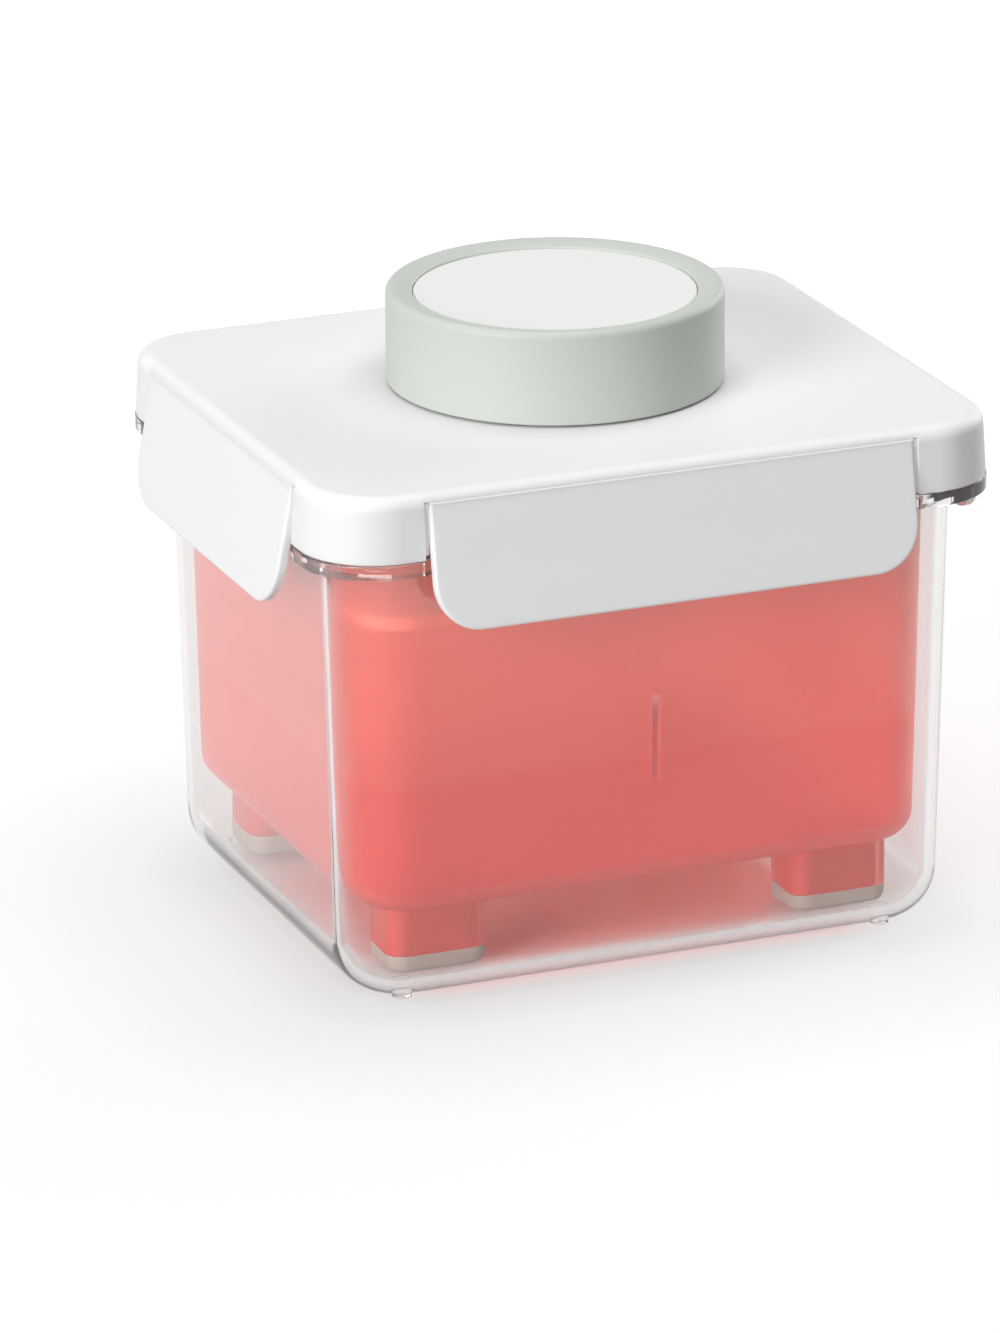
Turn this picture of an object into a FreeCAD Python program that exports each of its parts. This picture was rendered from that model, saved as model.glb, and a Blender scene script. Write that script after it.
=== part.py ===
import FreeCAD, Part
import math
import os
import Sketcher

# A tofu press: a clear tub, a basket on four feet inside it, a lid held down by four
# hinged latches, and a knob whose nut drives a threaded column and press plate down.
# Millimetres, +Z up. The origin is on the table under the middle of the tub, +X to the
# right and -Y to the front.

V = FreeCAD.Vector
doc = FreeCAD.newDocument("tofu_press")

# ---------------------------------------------------------------- driving dimensions
SIZES = {
    # tub
    "tub_x": 143.2, "tub_y": 120.2, "tub_corner": 15, "tub_draft": 1.26, "tub_wall": 2.4,
    "tub_base": 1, "tub_floor": 2.7, "tub_top": 113.5, "tub_foot_round": 12.2,
    "rim_x": 160.8, "rim_y": 135.8, "rim_corner": 17, "rim_low": 103.2, "rim_high": 106.5,
    "rim_round": 0.7, "ledge_cut": 1.8, "ledge_end": 58.2, "ledge_end_side": 45.7,
    "nub_x": 57.5, "nub_y": 49.5, "nub_dia": 4.6, "nub_buried": 1.4,
    # basket
    "basket_x": 134.6, "basket_y": 111.5, "basket_corner": 13, "basket_draft": 1.03,
    "basket_wall": 1.9, "basket_floor": 2.2, "basket_low": 20.6, "basket_top": 106.6,
    "basket_round": 6.4, "slot_wide": 2.1, "slot_low": 45, "slot_high": 65,
    "leg_x": 23.4, "leg_y": 17, "leg_mid_x": 48.2, "leg_mid_y": 41.2, "leg_low": 9.2,
    "leg_wall": 2, "leg_corner": 4.5, "leg_buried": 1.7,
    "drain_wide": 2.2, "drain_long": 12, "drain_pitch_x": 11, "drain_pitch_y": 20,
    # silicone feet
    "foot_low": 4.05, "foot_round": 2, "plug_gap": 0.05, "plug_high": 19.3,
    # lid
    "lid_x": 158.9, "lid_y": 134.1, "lid_corner": 16.5, "lid_draft": 3.4, "lid_low": 106.8,
    "lid_top": 121.3, "lid_plate": 2.8, "lid_wall": 1.9, "lid_round": 3.3,
    "seal_wall_x": 140.4, "seal_wall_y": 117.2, "seal_wall": 2, "seal_corner": 13.6,
    "seal_low": 108.2, "groove_low": 109.4, "groove_high": 112, "groove_deep": 1.1,
    "gasket_proud": 1, "gasket_gap": 0.05, "block_low": 107.5, "block_in": 4.1,
    "block_out": 0.4,
    "boss_out": 44, "boss_hole": 38.3, "boss_low": 104, "boss_high": 128.5,
    "web_thick": 1.6, "web_high": 6,
    # latches and their hinge line, measured from the lid's top outline
    "latch_long": 113.4, "latch_long_side": 88.6, "hinge_in": 1.8, "hinge_level": 116.9,
    "barrel": 4.4, "channel": 6.1, "pivot": 2.4, "pivot_long": 1.7, "pivot_gap": 0.15,
    "latch_gap": 1.2, "latch_flare": 5.6, "latch_low": 91, "latch_thick": 2.15,
    "latch_out": 0.2, "latch_top": 119, "latch_bend": 114.9, "latch_corner": 10.5,
    "latch_round": 0.7, "hook_toe": 98.2, "hook_low": 100.8, "hook_high": 102.85,
    "hook_reach": 2.4, "hook_buried": 0.6, "hook_inset": 13, "block_thick": 3,
    # knob and drive
    "knob_dia": 75.4, "knob_low": 121.75, "knob_top": 143, "knob_wall": 3,
    "knob_band": 2, "knob_round": 1.7, "disc_dia": 63.2, "disc_top": 141.7,
    "disc_thick": 1.8, "disc_round": 0.35, "disc_gap": 0.1,
    "nut_out": 38, "nut_head": 54, "nut_low": 92.4, "nut_head_low": 131,
    "nut_high": 137, "nut_bore": 31,
    "washer_thick": 0.6, "washer_out": 46, "washer_gap": 0.05,
    "ring_low": 102.4, "ring_high": 103.6, "ring_out": 43, "ring_seat": 36,
    "ring_gap": 0.1, "ring_opening": 10, "oring_mid": 112, "oring_thick": 1.7,
    "oring_gap": 0.06, "oring_seat_wide": 2.2, "oring_seat": 34.6,
    # column, plate and screws
    "plate_x": 129.8, "plate_y": 106.6, "plate_corner": 10.5, "plate_low": 86,
    "plate_thick": 3.5, "plate_round": 1, "rib_high": 3, "rib_end": 4,
    "column_core": 26.8, "column_bore": 20,
    "column_top": 136.2, "flange_dia": 44, "flange_high": 91.7,
    "thread_dia": 30, "lead": 12, "crest": 1.3, "root": 2.5, "nut_crest": 1.2,
    "nut_root": 2.3, "nut_crest_dia": 27.6, "thread_low": 94, "nut_ridge_long": 36,
    "column_ridge_long": 38.4,
    "screw_dia": 2.9, "screw_gap": 0.1, "screw_head": 5.4, "screw_head_deep": 1.5,
    "screw_slot": 0.8, "screw_slot_long": 2.6, "screw_slot_deep": 0.8,
}
sheet = doc.addObject("Spreadsheet::Sheet", "Sizes")
for row, (alias, value) in enumerate(SIZES.items(), start=1):
    sheet.set("A%d" % row, alias)
    sheet.set("B%d" % row, str(value))
    sheet.setAlias("B%d" % row, alias)
doc.recompute()

CORNERS = [(1, 1), (-1, 1), (-1, -1), (1, -1)]
STARTS = 3
parts = []


def value(expression):
    """The number that an expression on the sheet stands for."""
    return float(sheet.evalExpression(expression))


# ------------------------------------------------------------------- shared helpers
def body_named(label):
    body = doc.addObject("PartDesign::Body", label)
    body.Label = label
    parts.append(body)
    return body


def origin_plane(body, role):
    return next(item for item in body.Origin.OriginFeatures if item.Role == role)


def sketch_on(body, name, level="0", role="XY_Plane"):
    """An empty sketch on one of the body's own planes, moved out by level."""
    sketch = body.newObject("Sketcher::SketchObject", name)
    sketch.AttachmentSupport = [(origin_plane(body, role), "")]
    sketch.MapMode = "FlatFace"
    sketch.setExpression("AttachmentOffset.Base.z", level)
    return sketch


def pin_down(sketch, kind, geometry, point, expression):
    """Hold a sketch point at a signed distance from the origin."""
    index = sketch.addConstraint(
        Sketcher.Constraint(kind, -1, 1, geometry, point, value(expression)))
    sketch.setExpression("Constraints[%d]" % index, expression)


def add_polygon(sketch, corners):
    """A closed outline whose corners are pairs of expressions."""
    spots = [V(value(x), value(y), 0) for x, y in corners]
    first = sketch.GeometryCount
    count = len(spots)
    for i in range(count):
        sketch.addGeometry(Part.LineSegment(spots[i], spots[(i + 1) % count]))
    for i in range(count):
        sketch.addConstraint(
            Sketcher.Constraint("Coincident", first + i, 2, first + (i + 1) % count, 1))
        pin_down(sketch, "DistanceX", first + i, 1, corners[i][0])
        pin_down(sketch, "DistanceY", first + i, 1, corners[i][1])


def add_box(sketch, x_low, y_low, x_high, y_high):
    add_polygon(sketch, [(x_low, y_low), (x_high, y_low), (x_high, y_high), (x_low, y_high)])


def add_circle(sketch, diameter, x="0", y="0"):
    centre = V(value(x), value(y), 0)
    circle = sketch.addGeometry(Part.Circle(centre, V(0, 0, 1), value(diameter) / 2))
    index = sketch.addConstraint(Sketcher.Constraint("Diameter", circle, value(diameter)))
    sketch.setExpression("Constraints[%d]" % index, diameter)
    pin_down(sketch, "DistanceX", circle, 3, x)
    pin_down(sketch, "DistanceY", circle, 3, y)


def add_rounded_box(sketch, wide, deep, corner, x="0", y="0"):
    """A rectangle about the point x, y with tangent corner arcs."""
    half_x, half_y, radius = value(wide) / 2, value(deep) / 2, value(corner)
    first = sketch.GeometryCount
    for i, (sx, sy) in enumerate(CORNERS):
        centre = V(value(x) + sx * (half_x - radius), value(y) + sy * (half_y - radius), 0)
        circle = Part.Circle(centre, V(0, 0, 1), radius)
        start = math.pi / 2 * i
        sketch.addGeometry(Part.ArcOfCircle(circle, start, start + math.pi / 2))
    for i in range(4):
        here = sketch.Geometry[first + i].EndPoint
        there = sketch.Geometry[first + (i + 1) % 4].StartPoint
        sketch.addGeometry(Part.LineSegment(here, there))
    for i in range(4):
        line, following = first + 4 + i, first + (i + 1) % 4
        sketch.addConstraint(Sketcher.Constraint("Tangent", first + i, 2, line, 1))
        sketch.addConstraint(Sketcher.Constraint("Coincident", line, 2, following, 1))
        index = sketch.addConstraint(Sketcher.Constraint("Radius", first + i, radius))
        sketch.setExpression("Constraints[%d]" % index, corner)
        sx, sy = CORNERS[i]
        middle = "%s + %d * ((%s) / 2 - (%s))"
        pin_down(sketch, "DistanceX", first + i, 3, middle % (x, sx, wide, corner))
        pin_down(sketch, "DistanceY", first + i, 3, middle % (y, sy, deep, corner))


def extrude(body, sketch, length, kind="Pad", down=False, both=False, draft=None):
    """Pad or Pocket a sketch; a positive draft widens the outline as it goes."""
    before = body.Tip.Shape.Volume if body.Tip else 0
    feature = body.newObject("PartDesign::" + kind, sketch.Name + "_" + kind.lower())
    feature.Profile = sketch
    feature.setExpression("Length", length)
    feature.Reversed = down if kind == "Pad" else not down
    if both:
        feature.SideType = "Symmetric"
    if draft:
        feature.setExpression("TaperAngle", draft)
    body.Tip = feature
    doc.recompute()
    gained = feature.Shape.Volume - before
    if (gained <= 0) if kind == "Pad" else (gained >= 0):
        raise ValueError("%s changes nothing" % feature.Name)
    return feature


def edges_of(feature, test):
    """Names of the edges whose midpoint and bounding box pass the test."""
    names = []
    for i, edge in enumerate(feature.Shape.Edges, start=1):
        middle = edge.valueAt((edge.FirstParameter + edge.LastParameter) / 2)
        if test(middle, edge.BoundBox):
            names.append("Edge%d" % i)
    return names


def dress(body, feature, test, size, kind="Fillet"):
    """Fillet or chamfer the edges that pass the test."""
    names = edges_of(feature, test)
    if not names:
        raise ValueError("no edge to %s on %s" % (kind.lower(), feature.Name))
    rounded = body.newObject("PartDesign::" + kind, "%s_%s" % (feature.Name, kind.lower()))
    rounded.Base = (feature, names)
    rounded.setExpression("Radius" if kind == "Fillet" else "Size", size)
    body.Tip = rounded
    doc.recompute()
    if "Invalid" in rounded.State or rounded.Shape.isNull():
        raise ValueError("%s failed on %s" % (rounded.Name, names))
    return rounded


def at_level(level):
    """A test for edges that lie flat at one height."""
    height = value(level)
    return lambda middle, box: box.ZLength < 0.01 and abs(middle.z - height) < 0.01


def turn(body, name, outline, kind="Revolution"):
    """Turn an outline of (radius, height) expressions about the vertical axis."""
    sketch = sketch_on(body, name, role="XZ_Plane")
    add_polygon(sketch, outline)
    feature = body.newObject("PartDesign::" + kind, name + "_turned")
    feature.Profile = sketch
    feature.ReferenceAxis = (origin_plane(body, "Z_Axis"), [""])
    feature.Angle = 360
    body.Tip = feature
    doc.recompute()
    return feature


def tube_outline(inner, outer, low, high):
    return [(inner, low), (outer, low), (outer, high), (inner, high)]


# ------------------------------------------------------------------------------ tub
def make_container():
    body = body_named("container")
    shell = sketch_on(body, "tub_outline", "Sizes.tub_base")
    add_rounded_box(shell, "Sizes.tub_x", "Sizes.tub_y", "Sizes.tub_corner")
    extrude(body, shell, "Sizes.tub_top - Sizes.tub_base", draft="Sizes.tub_draft")
    rim = sketch_on(body, "rim_outline", "Sizes.rim_low")
    add_rounded_box(rim, "Sizes.rim_x", "Sizes.rim_y", "Sizes.rim_corner")
    rim_pad = extrude(body, rim, "Sizes.rim_high - Sizes.rim_low")
    outer_x = value("Sizes.rim_x / 2")
    outer_y = value("Sizes.rim_y / 2")
    reach = value("Sizes.rim_corner") * (1 - math.sqrt(0.5)) + 0.1

    def on_rim(middle, box):
        level = box.ZLength < 0.01 and middle.z > value("Sizes.rim_low") - 0.01
        edge = abs(middle.x) > outer_x - reach or abs(middle.y) > outer_y - reach
        return level and edge and middle.z < value("Sizes.rim_high") + 0.01
    dress(body, rim_pad, on_rim, "Sizes.rim_round")

    hollow = sketch_on(body, "tub_hollow", "Sizes.tub_base + Sizes.tub_floor")
    inner = "Sizes.%s - 2 * Sizes.tub_wall + 2 * Sizes.tub_floor * tan(Sizes.tub_draft)"
    add_rounded_box(hollow, inner % "tub_x", inner % "tub_y",
                    "Sizes.tub_corner - Sizes.tub_wall")
    pocket = extrude(body, hollow, "Sizes.tub_top - Sizes.tub_base - Sizes.tub_floor",
                     "Pocket", draft="Sizes.tub_draft")
    inside = dress(body, pocket, at_level("Sizes.tub_base + Sizes.tub_floor"),
                   "Sizes.tub_foot_round - Sizes.tub_wall")
    dress(body, inside, at_level("Sizes.tub_base"), "Sizes.tub_foot_round")

    # the rim stands back behind each latch, which leaves the ledge that it hooks under
    cut = sketch_on(body, "latch_ledges", "Sizes.rim_high + 1")
    for side in (1, -1):
        near = "%d * (Sizes.rim_y / 2 - Sizes.ledge_cut)" % side
        far = "%d * (Sizes.rim_y / 2 + 3)" % side
        add_box(cut, "-Sizes.ledge_end", near, "Sizes.ledge_end", far)
        near = "%d * (Sizes.rim_x / 2 - Sizes.ledge_cut)" % side
        far = "%d * (Sizes.rim_x / 2 + 3)" % side
        add_box(cut, near, "-Sizes.ledge_end_side", far, "Sizes.ledge_end_side")
    extrude(body, cut, "Sizes.rim_high - Sizes.rim_low + 2", "Pocket", down=True)

    nubs = sketch_on(body, "nubs")
    for sx, sy in CORNERS:
        add_circle(nubs, "Sizes.nub_dia", "%d * Sizes.nub_x" % sx, "%d * Sizes.nub_y" % sy)
    extrude(body, nubs, "Sizes.tub_base + Sizes.nub_buried")


# --------------------------------------------------------------- basket and its feet
def make_basket():
    body = body_named("basket")
    shell = sketch_on(body, "basket_outline", "Sizes.basket_low")
    add_rounded_box(shell, "Sizes.basket_x", "Sizes.basket_y", "Sizes.basket_corner")
    extrude(body, shell, "Sizes.basket_top - Sizes.basket_low", draft="Sizes.basket_draft")
    hollow = sketch_on(body, "basket_hollow", "Sizes.basket_low + Sizes.basket_floor")
    inner = ("Sizes.%s - 2 * Sizes.basket_wall"
             " + 2 * Sizes.basket_floor * tan(Sizes.basket_draft)")
    add_rounded_box(hollow, inner % "basket_x", inner % "basket_y",
                    "Sizes.basket_corner - Sizes.basket_wall")
    depth = "Sizes.basket_top - Sizes.basket_low - Sizes.basket_floor"
    pocket = extrude(body, hollow, depth, "Pocket", draft="Sizes.basket_draft")
    inside = dress(body, pocket, at_level("Sizes.basket_low + Sizes.basket_floor"),
                   "Sizes.basket_round - Sizes.basket_wall")
    dress(body, inside, at_level("Sizes.basket_low"), "Sizes.basket_round")

    legs = sketch_on(body, "legs", "Sizes.leg_low")
    leg_outline(legs, "0")
    extrude(body, legs, "Sizes.basket_low + Sizes.leg_buried - Sizes.leg_low")

    sockets = sketch_on(body, "leg_sockets", "Sizes.leg_low")
    leg_outline(sockets, "Sizes.leg_wall")
    extrude(body, sockets, "Sizes.basket_low - 1 - Sizes.leg_low", "Pocket")

    slot = sketch_on(body, "wall_slots", role="XZ_Plane")
    add_box(slot, "-Sizes.slot_wide / 2", "Sizes.slot_low", "Sizes.slot_wide / 2",
            "Sizes.slot_high")
    extrude(body, slot, "Sizes.basket_y + 20", "Pocket", both=True)

    drain = sketch_on(body, "drain_slot", "Sizes.basket_low + Sizes.basket_floor + 1")
    add_box(drain, "Sizes.drain_pitch_x * -2.5 - Sizes.drain_wide / 2",
            "-Sizes.drain_pitch_y - Sizes.drain_long / 2",
            "Sizes.drain_pitch_x * -2.5 + Sizes.drain_wide / 2",
            "-Sizes.drain_pitch_y + Sizes.drain_long / 2")
    first = extrude(body, drain, "Sizes.basket_floor + 2", "Pocket", down=True)
    grid = body.newObject("PartDesign::MultiTransform", "drain_grid")
    rows = []
    for role, pitch, count in (("X_Axis", "Sizes.drain_pitch_x", 6),
                               ("Y_Axis", "Sizes.drain_pitch_y", 3)):
        row = body.newObject("PartDesign::LinearPattern", "drains_along_" + role[0])
        row.Direction = (origin_plane(body, role), [""])
        row.Occurrences = count
        row.setExpression("Length", "%s * %d" % (pitch, count - 1))
        rows.append(row)
    grid.Originals = [first]
    grid.Transformations = rows
    body.Tip = grid
    doc.recompute()


def leg_outline(sketch, inset):
    """The four legs' outlines, drawn in by inset on every side."""
    for sx, sy in CORNERS:
        add_rounded_box(sketch, "Sizes.leg_x - 2 * " + inset, "Sizes.leg_y - 2 * " + inset,
                        "Sizes.leg_corner - " + inset, "%d * Sizes.leg_mid_x" % sx,
                        "%d * Sizes.leg_mid_y" % sy)


def make_foot(label, sx, sy):
    """A silicone sole under one leg, with a plug that fills the leg's socket."""
    body = body_named(label)
    sole = sketch_on(body, "sole", "Sizes.foot_low")
    add_rounded_box(sole, "Sizes.leg_x", "Sizes.leg_y", "Sizes.leg_corner")
    pad = extrude(body, sole, "Sizes.leg_low - Sizes.foot_low")
    dress(body, pad, at_level("Sizes.foot_low"), "Sizes.foot_round")
    plug = sketch_on(body, "plug", "Sizes.leg_low - 0.5")
    margin = " - 2 * (Sizes.leg_wall + Sizes.plug_gap)"
    add_rounded_box(plug, "Sizes.leg_x" + margin, "Sizes.leg_y" + margin,
                    "Sizes.leg_corner - Sizes.leg_wall")
    extrude(body, plug, "Sizes.plug_high - Sizes.leg_low + 0.5")
    body.Placement.Base = V(sx * value("Sizes.leg_mid_x"), sy * value("Sizes.leg_mid_y"), 0)


# ------------------------------------------------------------------- lid and latches
def make_lid():
    body = body_named("lid")
    rise = "(Sizes.lid_top - Sizes.lid_low)"
    spread = "2 * %s * tan(Sizes.lid_draft)" % rise
    shell = sketch_on(body, "lid_outline", "Sizes.lid_low")
    add_rounded_box(shell, "Sizes.lid_x + " + spread, "Sizes.lid_y + " + spread,
                    "Sizes.lid_corner + %s * tan(Sizes.lid_draft)" % rise)
    solid = extrude(body, shell, rise, draft="-Sizes.lid_draft")
    dress(body, solid, at_level("Sizes.lid_top"), "Sizes.lid_round")

    under = "(Sizes.lid_top - Sizes.lid_plate)"
    hollow = sketch_on(body, "lid_hollow", "Sizes.lid_low")
    add_rounded_box(hollow, "Sizes.lid_x + %s - 2 * Sizes.lid_wall" % spread,
                    "Sizes.lid_y + %s - 2 * Sizes.lid_wall" % spread,
                    "Sizes.lid_corner - Sizes.lid_wall")
    extrude(body, hollow, "%s - Sizes.lid_low" % under, "Pocket", draft="-Sizes.lid_draft")

    wall = sketch_on(body, "seal_wall", "Sizes.seal_low")
    add_rounded_box(wall, "Sizes.seal_wall_x", "Sizes.seal_wall_y", "Sizes.seal_corner")
    add_rounded_box(wall, "Sizes.seal_wall_x - 2 * Sizes.seal_wall",
                    "Sizes.seal_wall_y - 2 * Sizes.seal_wall",
                    "Sizes.seal_corner - Sizes.seal_wall")
    extrude(body, wall, "%s + 0.5 - Sizes.seal_low" % under)

    groove = sketch_on(body, "seal_groove", "Sizes.groove_low")
    add_rounded_box(groove, "Sizes.seal_wall_x + 2", "Sizes.seal_wall_y + 2",
                    "Sizes.seal_corner + 1")
    add_rounded_box(groove, "Sizes.seal_wall_x - 2 * Sizes.groove_deep",
                    "Sizes.seal_wall_y - 2 * Sizes.groove_deep",
                    "Sizes.seal_corner - Sizes.groove_deep")
    extrude(body, groove, "Sizes.groove_high - Sizes.groove_low", "Pocket")

    # end blocks beside each latch carry the sockets of its pivots
    blocks = sketch_on(body, "pivot_blocks", "Sizes.block_low")
    for sx, sy in CORNERS:
        inner_y = "%d * (Sizes.lid_y / 2 - Sizes.block_in)" % sy
        outer_y = "%d * (Sizes.lid_y / 2 - Sizes.block_out)" % sy
        start = "(Sizes.latch_long / 2 + Sizes.latch_gap)"
        add_box(blocks, "%d * %s" % (sx, start), inner_y,
                "%d * (%s + Sizes.block_thick)" % (sx, start), outer_y)
        inner_x = "%d * (Sizes.lid_x / 2 - Sizes.block_in)" % sx
        outer_x = "%d * (Sizes.lid_x / 2 - Sizes.block_out)" % sx
        start = "(Sizes.latch_long_side / 2 + Sizes.latch_gap)"
        add_box(blocks, inner_x, "%d * %s" % (sy, start), outer_x,
                "%d * (%s + Sizes.block_thick)" % (sy, start))
    extrude(body, blocks, "%s + 0.5 - Sizes.block_low" % under)

    # webs under the plate run out from the boss to the seal wall
    webs = sketch_on(body, "plate_webs", "%s - Sizes.web_high" % under)
    out = "Sizes.boss_out / 2 - 1"
    half = "Sizes.web_thick / 2"
    for side in (1, -1):
        end = "%d * (Sizes.seal_wall_x / 2 - 1)" % side
        add_box(webs, "%d * (%s)" % (side, out), "-" + half, end, half)
        end = "%d * (Sizes.seal_wall_y / 2 - 1)" % side
        add_box(webs, "-" + half, "%d * (%s)" % (side, out), half, end)
    extrude(body, webs, "Sizes.web_high + 0.5")

    boss = sketch_on(body, "boss", "Sizes.boss_low")
    add_circle(boss, "Sizes.boss_out")
    boss_pad = extrude(body, boss, "Sizes.boss_high - Sizes.boss_low")
    bore = sketch_on(body, "boss_bore", "Sizes.boss_low - 1")
    add_circle(bore, "Sizes.boss_hole")
    extrude(body, bore, "Sizes.boss_high - Sizes.boss_low + 2", "Pocket")

    # a round channel and the room below it let each latch swing
    room = sketch_on(body, "latch_rooms", "Sizes.hinge_level")
    for side in (1, -1):
        span = "(Sizes.latch_long / 2 + Sizes.latch_gap)"
        near = "%d * (Sizes.lid_y / 2 - Sizes.hinge_in - Sizes.channel / 2)" % side
        add_box(room, "-" + span, near, span, "%d * (Sizes.lid_y / 2 + 4)" % side)
        span = "(Sizes.latch_long_side / 2 + Sizes.latch_gap)"
        near = "%d * (Sizes.lid_x / 2 - Sizes.hinge_in - Sizes.channel / 2)" % side
        add_box(room, near, "-" + span, "%d * (Sizes.lid_x / 2 + 4)" % side, span)
    extrude(body, room, "Sizes.hinge_level - Sizes.lid_low + 2", "Pocket", down=True)
    for name, diameter, extra in (
            ("channel", "Sizes.channel", "2 * Sizes.latch_gap"),
            ("sockets", "Sizes.pivot + 2 * Sizes.pivot_gap",
             "2 * (Sizes.latch_gap + Sizes.pivot_long + Sizes.pivot_gap)")):
        for role, across, long in (("YZ_Plane", "lid_y", "latch_long"),
                                   ("XZ_Plane", "lid_x", "latch_long_side")):
            hinge = sketch_on(body, name + "_" + role[:2].lower(), role=role)
            for side in (1, -1):
                add_circle(hinge, diameter,
                           "%d * (Sizes.%s / 2 - Sizes.hinge_in)" % (side, across),
                           "Sizes.hinge_level")
            extrude(body, hinge, "Sizes.%s + %s" % (long, extra), "Pocket", both=True)


def make_gasket():
    body = body_named("lid_gasket")
    ring = sketch_on(body, "gasket_outline", "Sizes.groove_low + Sizes.gasket_gap")
    for grown in ("Sizes.gasket_proud", "(Sizes.gasket_gap - Sizes.groove_deep)"):
        add_rounded_box(ring, "Sizes.seal_wall_x + 2 * " + grown,
                        "Sizes.seal_wall_y + 2 * " + grown, "Sizes.seal_corner + " + grown)
    extrude(body, ring, "Sizes.groove_high - Sizes.groove_low - 2 * Sizes.gasket_gap")


def make_latch(label, long, reach, angle):
    """A flap drawn for the front edge, then turned round to the edge that it serves.

    In its own frame the lid's top outline is the line y = 0 and the flap hangs down
    and outwards from it, towards -y.
    """
    body = body_named(label)
    slope = ("(Sizes.latch_flare - Sizes.latch_out)"
             " / (Sizes.latch_top - Sizes.latch_low)")

    def face(level, inward="0"):
        return "-Sizes.latch_out - (Sizes.latch_top - %s) * %s + %s" % (level, slope, inward)
    flap = sketch_on(body, "flap", role="YZ_Plane")
    add_polygon(flap, [
        ("-Sizes.latch_out", "Sizes.latch_top"),
        (face("Sizes.latch_low"), "Sizes.latch_low"),
        (face("Sizes.latch_low", "Sizes.latch_thick"), "Sizes.latch_low"),
        (face("Sizes.latch_bend", "Sizes.latch_thick"), "Sizes.latch_bend"),
        ("Sizes.hinge_in", "Sizes.hinge_level")])
    pad = extrude(body, flap, long, both=True)
    end = value(long) / 2
    low = value("Sizes.latch_low")
    top = value("Sizes.latch_top")

    def lower_corner(middle, box):
        return abs(abs(middle.x) - end) < 0.01 and abs(middle.z - low) < 0.01
    corners = dress(body, pad, lower_corner, "Sizes.latch_corner")

    def outer_edge(middle, box):
        skin = -value("Sizes.latch_out") - (top - middle.z) * value(slope)
        return abs(middle.y - skin) < 0.05 and middle.z < top - 0.1
    dress(body, corners, outer_edge, "Sizes.latch_round")

    hook = sketch_on(body, "hook", role="YZ_Plane")
    root = "Sizes.latch_thick - Sizes.hook_buried"
    add_polygon(hook, [
        (face("Sizes.hook_toe", root), "Sizes.hook_toe"),
        ("Sizes.hook_reach", "Sizes.hook_low"),
        ("Sizes.hook_reach", "Sizes.hook_high"),
        (face("Sizes.hook_high", root), "Sizes.hook_high")])
    extrude(body, hook, "%s - 2 * Sizes.hook_inset" % long, both=True)
    for name, diameter, extra in (
            ("barrel", "Sizes.barrel", "0"),
            ("pivots", "Sizes.pivot", "2 * (Sizes.pivot_long + Sizes.latch_gap)")):
        rod = sketch_on(body, name, role="YZ_Plane")
        add_circle(rod, diameter, "Sizes.hinge_in", "Sizes.hinge_level")
        extrude(body, rod, "%s + %s" % (long, extra), both=True)
    turned = FreeCAD.Rotation(V(0, 0, 1), angle)
    body.Placement = FreeCAD.Placement(turned.multVec(V(0, -value(reach), 0)), turned)


# ----------------------------------------------------------------- knob and its drive
def make_knob_ring():
    body = body_named("knob_ring")
    rim = "Sizes.knob_dia / 2"
    bore = "Sizes.knob_dia / 2 - Sizes.knob_wall"
    seat = "Sizes.disc_top - Sizes.disc_thick - Sizes.disc_gap"
    lip = "Sizes.disc_dia / 2 + Sizes.disc_gap"
    shape = turn(body, "knob_section", [
        ("0", "Sizes.nut_high"),
        (bore, "Sizes.nut_high"),
        (bore, "Sizes.knob_low"),
        (rim, "Sizes.knob_low"),
        (rim, "Sizes.knob_top"),
        (rim + " - Sizes.knob_band", "Sizes.knob_top"),
        (lip, "Sizes.disc_top + Sizes.disc_gap"),
        (lip, seat),
        ("0", seat)])
    top = value("Sizes.knob_top")
    radius = value(rim)

    def crown(middle, box):
        flat = box.ZLength < 0.01 and abs(middle.z - top) < 0.01
        return flat and abs(math.hypot(middle.x, middle.y) - radius) < 0.1
    dress(body, shape, crown, "Sizes.knob_round")
    screw_holes(body, seat, "Sizes.nut_high - 1", KNOB_SCREW_RADIUS)


def make_knob_disc():
    body = body_named("knob_disc")
    low = "Sizes.disc_top - Sizes.disc_thick"
    shape = turn(body, "disc_section", [
        ("0", low), ("Sizes.disc_dia / 2", low), ("Sizes.disc_dia / 2", "Sizes.disc_top"),
        ("0", "Sizes.disc_top")])
    dress(body, shape, at_level("Sizes.disc_top"), "Sizes.disc_round")


def thread(body, name, outline, height):
    """Left-handed ridges of one outline, so that a clockwise turn presses down."""
    ridge = sketch_on(body, name, role="XZ_Plane")
    add_polygon(ridge, outline)
    helix = body.newObject("PartDesign::AdditiveHelix", name + "_helix")
    helix.Profile = ridge
    helix.ReferenceAxis = (origin_plane(body, "Z_Axis"), [""])
    helix.Mode = 0
    helix.LeftHanded = True
    helix.setExpression("Pitch", "Sizes.lead")
    helix.setExpression("Height", height)
    starts = body.newObject("PartDesign::PolarPattern", name + "_starts")
    starts.Originals = [helix]
    starts.Axis = (origin_plane(body, "Z_Axis"), [""])
    starts.Angle = 360
    starts.Occurrences = STARTS
    body.Tip = starts
    doc.recompute()


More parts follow.
